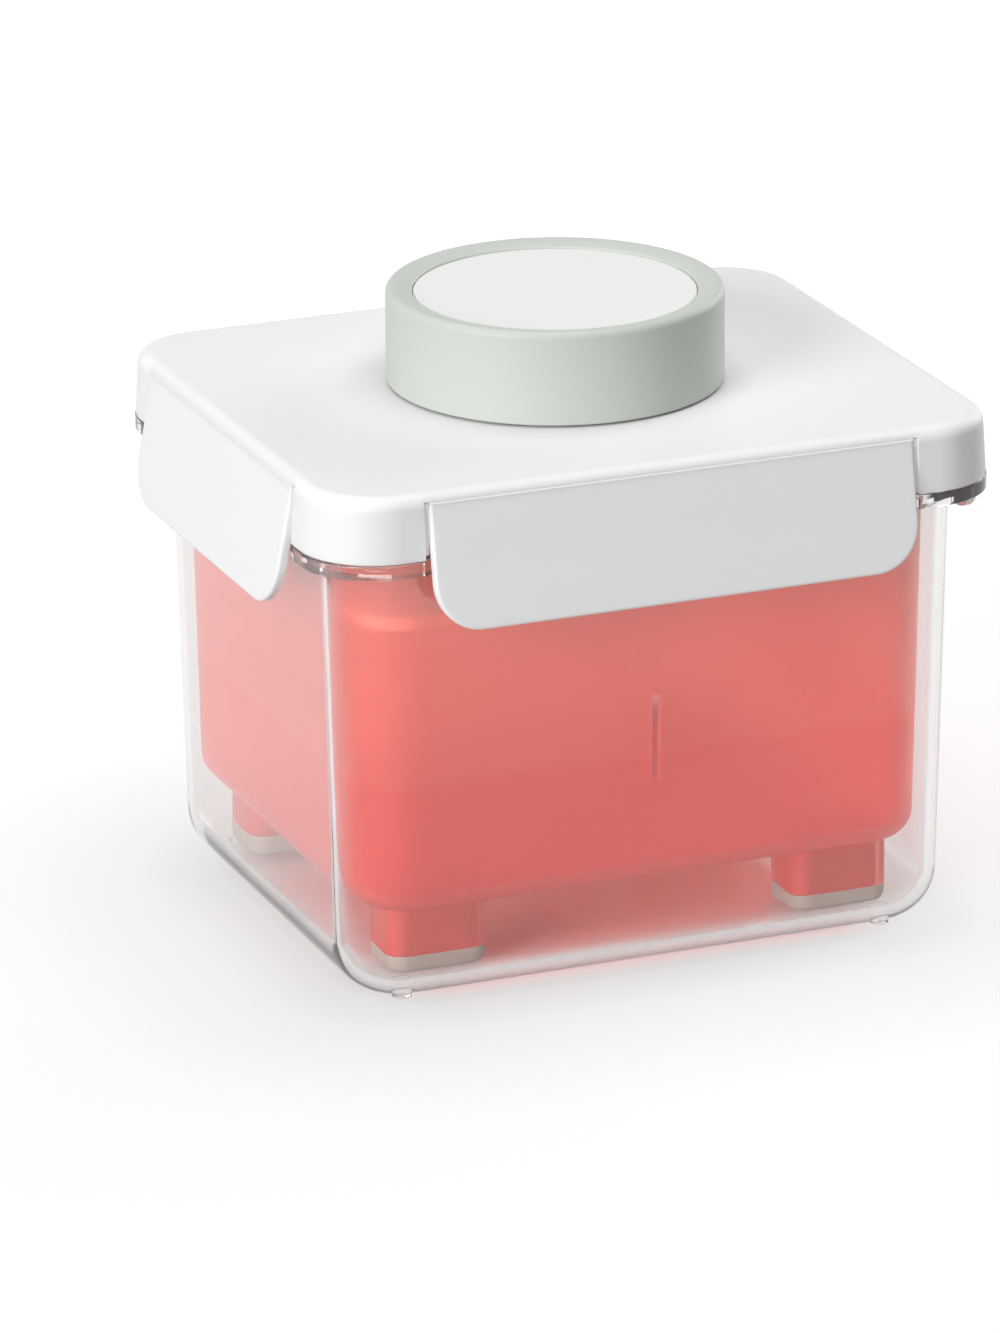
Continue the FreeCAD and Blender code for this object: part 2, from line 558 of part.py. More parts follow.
def make_drive_nut():
    body = body_named("drive_nut")
    bore = "Sizes.nut_bore / 2"
    wall = "Sizes.nut_out / 2"
    turn(body, "nut_section", [
        (bore, "Sizes.nut_low"), (wall, "Sizes.nut_low"), (wall, "Sizes.nut_head_low"),
        ("Sizes.nut_head / 2", "Sizes.nut_head_low"), ("Sizes.nut_head / 2", "Sizes.nut_high"),
        (bore, "Sizes.nut_high")])
    turn(body, "ring_groove", tube_outline(
        "Sizes.ring_seat / 2", "Sizes.nut_out / 2 + 1", "Sizes.ring_low - Sizes.ring_gap",
        "Sizes.ring_high + Sizes.ring_gap"), "Groove")
    turn(body, "oring_groove", tube_outline(
        "Sizes.oring_seat / 2", "Sizes.nut_out / 2 + 1",
        "Sizes.oring_mid - Sizes.oring_seat_wide / 2",
        "Sizes.oring_mid + Sizes.oring_seat_wide / 2"), "Groove")
    screw_holes(body, "Sizes.nut_high", "Sizes.nut_head_low + 0.5", KNOB_SCREW_RADIUS)
    thread(body, "nut_ridge", [
        ("Sizes.nut_bore / 2 + 0.5", "Sizes.thread_low - Sizes.nut_root / 2"),
        ("Sizes.nut_bore / 2 + 0.5", "Sizes.thread_low + Sizes.nut_root / 2"),
        ("Sizes.nut_crest_dia / 2", "Sizes.thread_low + Sizes.nut_crest / 2"),
        ("Sizes.nut_crest_dia / 2", "Sizes.thread_low - Sizes.nut_crest / 2")],
        "Sizes.nut_ridge_long")


def make_retainers():
    """The slip washer above the boss, the snap ring below it and the O-ring between."""
    washer = body_named("slip_washer")
    turn(washer, "washer_section", tube_outline(
        "Sizes.nut_out / 2 + 0.1", "Sizes.washer_out / 2",
        "Sizes.nut_head_low - Sizes.washer_thick - Sizes.washer_gap",
        "Sizes.nut_head_low - Sizes.washer_gap"))

    ring = body_named("snap_ring")
    turn(ring, "ring_section", tube_outline(
        "Sizes.ring_seat / 2 + Sizes.ring_gap", "Sizes.ring_out / 2", "Sizes.ring_low",
        "Sizes.ring_high"))
    opening = sketch_on(ring, "ring_opening", "Sizes.ring_low - 1")
    add_box(opening, "Sizes.ring_seat / 4", "-Sizes.ring_opening / 2", "Sizes.ring_out",
            "Sizes.ring_opening / 2")
    extrude(ring, opening, "Sizes.ring_high - Sizes.ring_low + 2", "Pocket")

    oring = body_named("nut_o_ring")
    section = sketch_on(oring, "oring_section", role="XZ_Plane")
    add_circle(section, "Sizes.oring_thick",
               "Sizes.boss_hole / 2 - Sizes.oring_gap - Sizes.oring_thick / 2",
               "Sizes.oring_mid")
    torus = oring.newObject("PartDesign::Revolution", "oring_turned")
    torus.Profile = section
    torus.ReferenceAxis = (origin_plane(oring, "Z_Axis"), [""])
    torus.Angle = 360
    oring.Tip = torus
    doc.recompute()


# ---------------------------------------------------------------- column and plate
def make_press_column():
    body = body_named("press_column")
    base = "Sizes.plate_low + Sizes.plate_thick"
    core = "Sizes.column_core / 2"
    bore = "Sizes.column_bore / 2"
    turn(body, "column_section", [
        (bore, base), ("Sizes.flange_dia / 2", base),
        ("Sizes.flange_dia / 2", "Sizes.flange_high"), (core, "Sizes.flange_high"),
        (core, "Sizes.column_top"), (bore, "Sizes.column_top")])
    screw_holes(body, "Sizes.flange_high", base + " - 1", PLATE_SCREW_RADIUS)
    middle = "(Sizes.thread_low + Sizes.lead / %d)" % (2 * STARTS)
    thread(body, "column_ridge", [
        (core + " - 0.3", middle + " - Sizes.root / 2"),
        ("Sizes.thread_dia / 2", middle + " - Sizes.crest / 2"),
        ("Sizes.thread_dia / 2", middle + " + Sizes.crest / 2"),
        (core + " - 0.3", middle + " + Sizes.root / 2")],
        "Sizes.column_ridge_long")


def make_press_plate():
    body = body_named("press_plate")
    outline = sketch_on(body, "plate_outline", "Sizes.plate_low")
    add_rounded_box(outline, "Sizes.plate_x", "Sizes.plate_y", "Sizes.plate_corner")
    pad = extrude(body, outline, "Sizes.plate_thick")
    dress(body, pad, at_level("Sizes.plate_low"), "Sizes.plate_round")
    ribs = sketch_on(body, "plate_ribs", "Sizes.plate_low + Sizes.plate_thick - 0.5")
    near = "(Sizes.flange_dia / 2 + 1)"
    half = "Sizes.web_thick / 2"
    for side in (1, -1):
        end = "%d * (Sizes.plate_x / 2 - Sizes.rib_end)" % side
        add_box(ribs, "%d * %s" % (side, near), "-" + half, end, half)
        end = "%d * (Sizes.plate_y / 2 - Sizes.rib_end)" % side
        add_box(ribs, "-" + half, "%d * %s" % (side, near), half, end)
    extrude(body, ribs, "Sizes.rib_high + 0.5")
    screw_holes(body, "Sizes.plate_low + Sizes.plate_thick", "Sizes.plate_low + 0.6",
                PLATE_SCREW_RADIUS)


# --------------------------------------------------------------------------- screws
KNOB_SCREW_RADIUS = "(Sizes.nut_head / 4 + Sizes.nut_bore / 4)"
PLATE_SCREW_RADIUS = "(Sizes.flange_dia / 2 - 3.6)"


def screw_holes(body, top, bottom, radius):
    """Four countersunk holes, cut from top down to bottom."""
    hole = sketch_on(body, "screw_holes", top)
    cone = sketch_on(body, "screw_sinks", top)
    for sx, sy in CORNERS:
        spot = ("%d * %s * sqrt(0.5)" % (sx, radius), "%d * %s * sqrt(0.5)" % (sy, radius))
        add_circle(hole, "Sizes.screw_dia + Sizes.screw_gap", *spot)
        add_circle(cone, "Sizes.screw_head + Sizes.screw_gap", *spot)
    extrude(body, hole, "(%s) - (%s)" % (top, bottom), "Pocket", down=True)
    if body.Label in ("knob_ring", "press_column"):
        extrude(body, cone, "Sizes.screw_head_deep", "Pocket", down=True,
                draft="-atan((Sizes.screw_head - Sizes.screw_dia) / 2 / Sizes.screw_head_deep)")


def make_screws(label, top, bottom, radius):
    """Four countersunk screws with a cross recess, as one group."""
    screws = []
    for number, (sx, sy) in enumerate(CORNERS, start=1):
        spot = ("%d * %s * sqrt(0.5)" % (sx, radius), "%d * %s * sqrt(0.5)" % (sy, radius))
        head = doc.addObject("Part::Cone", "%s_head_%d" % (label, number))
        head.setExpression("Radius1", "Sizes.screw_dia / 2")
        head.setExpression("Radius2", "Sizes.screw_head / 2")
        head.setExpression("Height", "Sizes.screw_head_deep")
        head.setExpression("Placement.Base.z", "(%s) - Sizes.screw_head_deep" % top)
        shank = doc.addObject("Part::Cylinder", "%s_shank_%d" % (label, number))
        shank.setExpression("Radius", "Sizes.screw_dia / 2")
        shank.setExpression("Height", "(%s) - Sizes.screw_head_deep - (%s)" % (top, bottom))
        shank.setExpression("Placement.Base.z", bottom)
        bars = []
        slot = ("Sizes.screw_slot_long", "Sizes.screw_slot")
        for side, (long, wide) in enumerate((slot, slot[::-1])):
            bar = doc.addObject("Part::Box", "%s_slot_%d_%d" % (label, number, side))
            bar.setExpression("Length", long)
            bar.setExpression("Width", wide)
            bar.setExpression("Height", "Sizes.screw_slot_deep + 1")
            bar.setExpression("Placement.Base.x", "%s - %s / 2" % (spot[0], long))
            bar.setExpression("Placement.Base.y", "%s - %s / 2" % (spot[1], wide))
            bar.setExpression("Placement.Base.z", "(%s) - Sizes.screw_slot_deep" % top)
            bars.append(bar)
        for item in (head, shank):
            item.setExpression("Placement.Base.x", spot[0])
            item.setExpression("Placement.Base.y", spot[1])
        whole = doc.addObject("Part::MultiFuse", "%s_blank_%d" % (label, number))
        whole.Shapes = [head, shank]
        cross = doc.addObject("Part::MultiFuse", "%s_cross_%d" % (label, number))
        cross.Shapes = bars
        screw = doc.addObject("Part::Cut", "%s_screw_%d" % (label, number))
        screw.Base = whole
        screw.Tool = cross
        screws.append(screw)
    group = doc.addObject("Part::Compound", label)
    group.Label = label
    group.Links = screws
    parts.append(group)


# ------------------------------------------------------------------------- assembly
make_container()
make_basket()
for label, sx, sy in (("basket_foot_front_left", -1, -1), ("basket_foot_front_right", 1, -1),
                      ("basket_foot_back_left", -1, 1), ("basket_foot_back_right", 1, 1)):
    make_foot(label, sx, sy)
make_lid()
make_gasket()
for label, long, reach, angle in (
        ("latch_front", "Sizes.latch_long", "Sizes.lid_y / 2", 0),
        ("latch_right", "Sizes.latch_long_side", "Sizes.lid_x / 2", 90),
        ("latch_back", "Sizes.latch_long", "Sizes.lid_y / 2", 180),
        ("latch_left", "Sizes.latch_long_side", "Sizes.lid_x / 2", 270)):
    make_latch(label, long, reach, angle)
make_knob_ring()
make_knob_disc()
make_drive_nut()
make_retainers()
make_screws("knob_screws", "Sizes.disc_top - Sizes.disc_thick - Sizes.disc_gap",
            "Sizes.nut_head_low + 1", KNOB_SCREW_RADIUS)
make_press_column()
make_press_plate()
make_screws("plate_screws", "Sizes.flange_high", "Sizes.plate_low + 1.1",
            PLATE_SCREW_RADIUS)

doc.recompute()
for item in doc.Objects:
    if "Invalid" in item.State or "Error" in item.State:
        raise ValueError("%s failed: %s" % (item.Name, item.State))
os.makedirs("parts", exist_ok=True)
for part in parts:
    shape = part.Shape
    if shape.isNull() or not shape.isValid():
        raise ValueError("%s has no valid shape" % part.Label)
    shape.exportStep("parts/%s.step" % part.Label)
    print("%-24s %d solid(s) %10.1f mm3" % (part.Label, len(shape.Solids), shape.Volume))
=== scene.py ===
import bpy
import bmesh
import math
from mathutils import Matrix, Vector


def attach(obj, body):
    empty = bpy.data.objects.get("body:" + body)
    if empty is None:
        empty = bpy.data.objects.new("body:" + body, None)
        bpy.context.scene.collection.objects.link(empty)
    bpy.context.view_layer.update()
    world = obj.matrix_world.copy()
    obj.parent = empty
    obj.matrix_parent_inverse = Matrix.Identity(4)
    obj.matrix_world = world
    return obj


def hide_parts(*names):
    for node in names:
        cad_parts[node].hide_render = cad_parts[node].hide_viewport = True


# A tofu press, put together from the table up: the clear tub, the coral basket and its
# feet inside it, the lid with its seal and latches, the knob, and the drive and plate
# that the knob moves. Metres, with the tub standing on z = 0 and its front towards -Y.
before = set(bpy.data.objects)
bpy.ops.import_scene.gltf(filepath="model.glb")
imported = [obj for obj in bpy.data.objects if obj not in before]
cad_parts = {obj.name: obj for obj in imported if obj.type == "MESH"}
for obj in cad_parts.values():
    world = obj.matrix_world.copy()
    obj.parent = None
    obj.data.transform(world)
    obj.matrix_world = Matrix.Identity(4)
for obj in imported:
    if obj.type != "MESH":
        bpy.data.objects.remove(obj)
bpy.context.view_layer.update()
MM = 0.001


# ---- Tub ---------------------------------------------------------------------------
# The outer container: clear copolyester, injection moulded in one piece with a slight
# draft. A flange runs round below the lip and stands back behind each latch, and four
# small nubs keep the floor off the table.
TUB_SIZE = (71.6, 60.1, 15)
TUB_BOTTOM, TUB_FLOOR, TUB_TOP = 1, 3.7, 113.5
TUB_WALL, TUB_ROUND, LIP_ROUND = 2.4, 12.2, 0.6
TUB_DRAFT = 1.26
TUB_SLOPE = math.tan(math.radians(TUB_DRAFT))
TUB_CORNER_STEPS = 18
SIDE_STOPS = (0.96, 0.9, -0.9, -0.96)
FLANGE_SIZE = (80.4, 67.9, 17)
FLANGE_LOW, FLANGE_HIGH, FLANGE_ROUND = 103.2, 106.5, 0.3
FLANGE_NOTCH = (58.2, 45.7, 66.1, 78.6)
ROOT_OUT, ROOT_LOW, ROOT_HIGH = 0.5, 102.6, 107.1
NUB_X, NUB_Y, NUB_STEPS = 57.5, 49.5, 24
NUB_PROFILE = [(1.7, 0), (2.2, 0.25), (2.3, 0.7), (2.3, 1.9)]
CORNERS = ((1, 1), (-1, 1), (-1, -1), (1, -1))


def outline(size, grow, z, notch=None, steps=TUB_CORNER_STEPS):
    """One level of a moulding: a rounded rectangle, anticlockwise, in millimetres.

    The size is its half width, half depth and corner, and all three grow by the same
    amount. Each straight side has four more points. A notch is the half length on x and
    on y of the stretch that stands back, and the y and x that it stands back to.
    """
    half_x, half_y, corner = (part + grow for part in size)
    points = []
    for side, (sx, sy) in enumerate(CORNERS):
        middle_x, middle_y = sx * (half_x - corner), sy * (half_y - corner)
        for step in range(steps + 1):
            angle = math.pi / 2 * (side + step / steps)
            points.append((middle_x + corner * math.cos(angle),
                           middle_y + corner * math.sin(angle), z))
        along_x = side % 2 == 0
        flat = (half_x if along_x else half_y) - corner
        if notch:
            end = notch[0] if along_x else notch[1]
            stops = (end, end, -end, -end)
        else:
            stops = [flat * share for share in SIDE_STOPS]
        edge = half_y if along_x else half_x
        wall = (notch[2] if along_x else notch[3]) if notch else edge
        turn = sx if along_x else sy
        for number, stop in enumerate(stops):
            out = min(edge, wall) if number in (1, 2) else edge
            if along_x:
                points.append((stop * turn, sy * out, z))
            else:
                points.append((sx * out, stop * turn, z))
    return points


def loft(mesh_name, levels, ring=False):
    """A closed skin through levels of equal point count.

    It's capped at both ends, or as a ring its last level joins back to the first.
    """
    shell = bmesh.new()
    rows = [[shell.verts.new(Vector(point) * MM) for point in level] for level in levels]
    count = len(levels[0])
    for low, high in zip(rows, rows[1:] + rows[:1] if ring else rows[1:]):
        for i in range(count):
            j = (i + 1) % count
            shell.faces.new((low[i], low[j], high[j], high[i]))
    if not ring:
        shell.faces.new(rows[0][::-1])
        shell.faces.new(rows[-1])
    bmesh.ops.remove_doubles(shell, verts=shell.verts, dist=1e-7)
    bmesh.ops.recalc_face_normals(shell, faces=shell.faces)
    mesh = bpy.data.meshes.new(mesh_name)
    shell.to_mesh(mesh)
    shell.free()
    return mesh


def linked(name, mesh):
    piece = bpy.data.objects.new(name, mesh)
    bpy.context.scene.collection.objects.link(piece)
    return piece


def applied(piece):
    """Turns the piece's modifiers into its own mesh."""
    graph = bpy.context.evaluated_depsgraph_get()
    mesh = bpy.data.meshes.new_from_object(piece.evaluated_get(graph), depsgraph=graph)
    piece.modifiers.clear()
    piece.data = mesh
    return piece


def cut_or_join(piece, other, operation):
    """Cuts the other shape from the piece or joins it on, and uses it up."""
    step = piece.modifiers.new(operation.lower(), "BOOLEAN")
    step.object, step.operation, step.solver = other, operation, "EXACT"
    applied(piece)
    bpy.data.objects.remove(other)


def shaded(piece, angle=32):
    """Smooth faces with sharp edges kept, and flat walls left flat."""
    piece.data.polygons.foreach_set("use_smooth", [True] * len(piece.data.polygons))
    piece.data.set_sharp_from_angle(angle=math.radians(angle))
    weighted = piece.modifiers.new("weighted_normals", "WEIGHTED_NORMAL")
    weighted.keep_sharp = True
    weighted.weight = 100
    return piece


def put_in(piece, body, slot, material, *nodes):
    """Gives the finished piece its material and its body, and hides the CAD nodes that it
    stands for.
    """
    piece.data.materials.clear()
    piece.data.materials.append(material)
    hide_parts(*nodes)
    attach(piece, body)


def fillet(radius, centre, height, start, end, steps=8):
    """Offset and height pairs round an arc, angles in degrees from straight out."""
    turns = [math.radians(start + (end - start) * i / steps) for i in range(steps + 1)]
    return [(centre + radius * math.cos(a), height + radius * math.sin(a)) for a in turns]


def wall_out(z):
    """How far the drafted wall has moved out at a height."""
    return (z - TUB_BOTTOM) * TUB_SLOPE


def wall_level(z, out=0.0):
    return outline(TUB_SIZE, wall_out(z) + out, z)


# The round at the floor runs into the drafted wall without an edge.
tub_levels = []
base_centre = TUB_ROUND * (TUB_SLOPE - 1 / math.cos(math.atan(TUB_SLOPE)))
for grow, z in fillet(TUB_ROUND, base_centre, TUB_BOTTOM + TUB_ROUND, -90, -TUB_DRAFT, 14):
    tub_levels.append(outline(TUB_SIZE, grow, z))
tub_levels.append(wall_level(ROOT_LOW))
tub_levels.append(wall_level(FLANGE_LOW, ROOT_OUT))
edge_low, edge_high = FLANGE_LOW + FLANGE_ROUND, FLANGE_HIGH - FLANGE_ROUND
for grow, z in (fillet(FLANGE_ROUND, -FLANGE_ROUND, edge_low, -90, 0, 3)
                + fillet(FLANGE_ROUND, -FLANGE_ROUND, edge_high, 0, 90, 3)):
    tub_levels.append(outline(FLANGE_SIZE, grow, z, FLANGE_NOTCH))
tub_levels.append(wall_level(FLANGE_HIGH, ROOT_OUT))
tub_levels.append(wall_level(ROOT_HIGH))
for grow, z in (fillet(LIP_ROUND, -LIP_ROUND, TUB_TOP - LIP_ROUND, 0, 90, 4)
                + fillet(LIP_ROUND, LIP_ROUND - TUB_WALL, TUB_TOP - LIP_ROUND, 90, 180, 4)):
    tub_levels.append(outline(TUB_SIZE, wall_out(TUB_TOP) + grow, z))
hollow_round = TUB_ROUND - TUB_WALL
hollow_centre = wall_out(TUB_FLOOR + hollow_round) - TUB_WALL - hollow_round
for grow, z in fillet(hollow_round, hollow_centre, TUB_FLOOR + hollow_round, 0, -90, 12):
    tub_levels.append(outline(TUB_SIZE, grow, z))
tub = linked("clear_tub", loft("clear_tub", tub_levels))

nub_turns = [math.tau * i / NUB_STEPS for i in range(NUB_STEPS)]
for sx, sy in CORNERS:
    nub_levels = [[(sx * NUB_X + radius * math.cos(a), sy * NUB_Y + radius * math.sin(a), z)
                   for a in nub_turns] for radius, z in NUB_PROFILE]
    cut_or_join(tub, linked("nub", loft("nub", nub_levels)), "UNION")


class Finish:
    """A material being built: its nodes, its links and its Principled shader."""

    def __init__(self, name):
        self.material = bpy.data.materials.new(name)
        self.material.use_nodes = True
        self.tree = self.material.node_tree
        self.tree.nodes.clear()
        self.output = self.node("ShaderNodeOutputMaterial")
        self.shader = self.node("ShaderNodeBsdfPrincipled")
        self.surface = self.shader.outputs["BSDF"]
        self.join(self.surface, self.output.inputs["Surface"])
        self.place = self.node("ShaderNodeTexCoord").outputs["Object"]

    def node(self, kind, **settings):
        made = self.tree.nodes.new(kind)
        for key, setting in settings.items():
            setattr(made, key, setting)
        return made

    def join(self, start, end):
        self.tree.links.new(start, end)

    def set(self, **numbers):
        for key, number in numbers.items():
            self.shader.inputs[key.replace("_", " ")].default_value = number

    def noise(self, scale, detail=3.0, stretch=(1, 1, 1)):
        """Noise with scale in cells a metre."""
        mapping = self.node("ShaderNodeMapping")
        mapping.inputs["Scale"].default_value = stretch
        self.join(self.place, mapping.inputs["Vector"])
        noise = self.node("ShaderNodeTexNoise")
        noise.inputs["Scale"].default_value = scale
        noise.inputs["Detail"].default_value = detail
        self.join(mapping.outputs["Vector"], noise.inputs["Vector"])
        return noise.outputs["Fac"]

    def between(self, factor, low, high, start=0.3, end=0.7):
        """Maps a factor from start..end to low..high."""
        mapped = self.node("ShaderNodeMapRange")
        for key, number in zip(("From Min", "From Max", "To Min", "To Max"),
                               (start, end, low, high)):
            mapped.inputs[key].default_value = number
        self.join(factor, mapped.inputs["Value"])
        return mapped.outputs["Result"]

    def blend_colours(self, factor, first, second):
        """Mixes two colours. A Mix node's colour sockets go by number, not by name."""
        mix = self.node("ShaderNodeMix", data_type="RGBA")
        mix.inputs[6].default_value = (*first, 1)
        mix.inputs[7].default_value = (*second, 1)
        self.join(factor, mix.inputs[0])
        return mix.outputs[2]

    def bump(self, height, distance, strength=1.0, under=None):
        bump = self.node("ShaderNodeBump")
        bump.inputs["Distance"].default_value = distance
        bump.inputs["Strength"].default_value = strength
        self.join(height, bump.inputs["Height"])
        if under:
            self.join(under, bump.inputs["Normal"])
        return bump.outputs["Normal"]

    def add_in(self, share, other):
        """Mixes another shader into the surface."""
        mix = self.node("ShaderNodeMixShader")
        self.join(self.surface, mix.inputs[1])
        self.join(other, mix.inputs[2])
        mix.inputs["Fac"].default_value = share
        self.surface = mix.outputs["Shader"]
        self.join(self.surface, self.output.inputs["Surface"])

    def let_light_in(self, share, colour):
        """Lamps and sky reach what is behind the wall, tinted by it."""
        path = self.node("ShaderNodeLightPath")
        clear = self.node("ShaderNodeBsdfTransparent")
        clear.inputs["Color"].default_value = (*colour, 1)
        factor = self.node("ShaderNodeMath", operation="MULTIPLY")
        factor.inputs[1].default_value = share
        self.join(path.outputs["Is Shadow Ray"], factor.inputs[0])
        mix = self.node("ShaderNodeMixShader")
        self.join(factor.outputs[0], mix.inputs["Fac"])
        self.join(self.surface, mix.inputs[1])
        self.join(clear.outputs["BSDF"], mix.inputs[2])
        self.join(mix.outputs["Shader"], self.output.inputs["Surface"])


def clear_copolyester():
    finish = Finish("clear_copolyester")
    finish.set(Base_Color=(0.895, 0.878, 0.872, 1), Transmission_Weight=0.98, IOR=1.54)
    smears = finish.between(finish.noise(22, 5, (1, 1, 2.4)), 0.008, 0.045)
    finish.join(smears, finish.shader.inputs["Roughness"])
    ripple = finish.bump(finish.noise(14, 1), 0.0006, 0.25)
    scuffs = finish.noise(900, 2, (1, 1, 0.2))
    finish.join(finish.bump(scuffs, 0.00002, 0.12, ripple), finish.shader.inputs["Normal"])
    finish.let_light_in(1.0, (0.985, 0.985, 0.985))
    return finish.material


shaded(tub)
put_in(tub, "container", "clear_plastic", clear_copolyester(), "container")


# ---- Basket ------------------------------------------------------------------------
# The inner basket that holds the tofu: translucent coral polypropylene with a soft
# sheen, moulded with four hollow legs. Three rows of slots drain its floor, and a tall
# slot in each of its front and back walls drains the sides.
BASKET_SIZE = (67.3, 55.75, 13)
BASKET_BOTTOM, BASKET_FLOOR, BASKET_TOP = 20.6, 22.8, 106.6
BASKET_WALL, BASKET_ROUND, BRIM_ROUND = 1.9, 6.4, 0.6
BASKET_DRAFT = 1.03
BASKET_SLOPE = math.tan(math.radians(BASKET_DRAFT))
LEG_X, LEG_Y = 48.2, 41.2
LEG_SPOTS = [(sx * LEG_X, sy * LEG_Y) for sx, sy in CORNERS]
LEG_SIZE, LEG_LOW, LEG_HIGH, LEG_SOFT = (11.7, 8.5, 4.5), 9.2, 22.2, 0.35
HOLLOW_SIZE, HOLLOW_LOW, HOLLOW_HIGH = (9.7, 6.5, 2.5), 8.0, 19.6
TALL_SLOT_SIZE, TALL_SLOT_Y, TALL_SLOT_LOW, TALL_SLOT_HIGH = (1.05, 6, 0.7), 57, 45, 65
DRAIN_SIZE, DRAIN_LOW, DRAIN_HIGH = (1.1, 6, 0.9), 19, 26
DRAIN_COLUMNS, DRAIN_ROWS, DRAIN_PITCH_X, DRAIN_PITCH_Y = 6, 3, 11, 20


def basket_out(z):
    """How far the drafted wall has moved out at a height."""
    return (z - BASKET_BOTTOM) * BASKET_SLOPE


basket_levels = []
for grow, z in fillet(BASKET_ROUND, BASKET_ROUND * (BASKET_SLOPE - 1),
                      BASKET_BOTTOM + BASKET_ROUND, -90, -BASKET_DRAFT, 10):
    basket_levels.append(outline(BASKET_SIZE, grow, z))
brim_out, brim_level = basket_out(BASKET_TOP), BASKET_TOP - BRIM_ROUND
for grow, z in (fillet(BRIM_ROUND, brim_out - BRIM_ROUND, brim_level, 0, 90, 4)
                + fillet(BRIM_ROUND, brim_out - BASKET_WALL + BRIM_ROUND, brim_level,
                         90, 180, 4)):
    basket_levels.append(outline(BASKET_SIZE, grow, z))
inner_round = BASKET_ROUND - BASKET_WALL
inner_centre = basket_out(BASKET_FLOOR + inner_round) - BASKET_WALL - inner_round
for grow, z in fillet(inner_round, inner_centre, BASKET_FLOOR + inner_round, 0, -90, 8):
    basket_levels.append(outline(BASKET_SIZE, grow, z))
basket = linked("drain_basket", loft("drain_basket", basket_levels))


def upright_block(spot, size, low, high, soft=0.0):
    """A block with rounded corners, and a softened lower edge if wanted."""
    levels = [outline(size, 0, low, steps=8)]
    if soft:
        levels = [outline(size, grow, z, steps=8)
                  for grow, z in fillet(soft, -soft, low + soft, -90, 0, 4)]
    levels.append(outline(size, 0, high, steps=8))
    moved = [[(x + spot[0], y + spot[1], z) for x, y, z in level] for level in levels]
    return linked("upright_block", loft("upright_block", moved))


for spot in LEG_SPOTS:
    leg = upright_block(spot, LEG_SIZE, LEG_LOW, LEG_HIGH, LEG_SOFT)
    cut_or_join(basket, leg, "UNION")
for spot in LEG_SPOTS:
    hollow = upright_block(spot, HOLLOW_SIZE, HOLLOW_LOW, HOLLOW_HIGH)
    cut_or_join(basket, hollow, "DIFFERENCE")
for side in (1, -1):
    tall_slot = upright_block((0, side * TALL_SLOT_Y), TALL_SLOT_SIZE, TALL_SLOT_LOW,
                              TALL_SLOT_HIGH)
    cut_or_join(basket, tall_slot, "DIFFERENCE")


def coral_polypropylene():
    finish = Finish("coral_polypropylene")
    cloud = finish.noise(14, 3, (1, 1, 0.35))
    colour = finish.blend_colours(cloud, (0.88, 0.070, 0.056), (0.90, 0.086, 0.068))
    finish.join(colour, finish.shader.inputs["Base Color"])
    finish.set(Specular_IOR_Level=0.35)
    sheen = finish.between(finish.noise(60, 4), 0.22, 0.30)
    finish.join(sheen, finish.shader.inputs["Roughness"])
    skin = finish.bump(finish.noise(90, 2), 0.00003, 0.1)
    finish.join(skin, finish.shader.inputs["Normal"])
    through = finish.node("ShaderNodeBsdfTranslucent")
    through.inputs["Color"].default_value = (0.89, 0.09, 0.07, 1)
    glassy = finish.node("ShaderNodeBsdfPrincipled")
    # The clear share's tint steps softly at a height of 51 mm, paler above it and deeper
    # below it. This is painted light and shade: the pale part stands for the bright table
    # seen through the basket, and the deeper part for the shade under the basket.
    height = finish.node("ShaderNodeSeparateXYZ")
    finish.join(finish.place, height.inputs[0])
    painted_light_above = finish.between(height.outputs["Z"], 0, 1, 0.0495, 0.0525)
    painted_light_tint = finish.blend_colours(painted_light_above, (0.95, 0.44, 0.38), (0.96, 0.65, 0.545))
    finish.join(painted_light_tint, glassy.inputs["Base Color"])
    glassy.inputs["Transmission Weight"].default_value = 1.0
    glassy.inputs["IOR"].default_value = 1.35
    glassy.inputs["Roughness"].default_value = 0.33
    finish.add_in(0.30, through.outputs["BSDF"])
    finish.add_in(0.78, glassy.outputs["BSDF"])
    finish.let_light_in(0.9, (1.0, 0.42, 0.36))
    return finish.material


coral = coral_polypropylene()


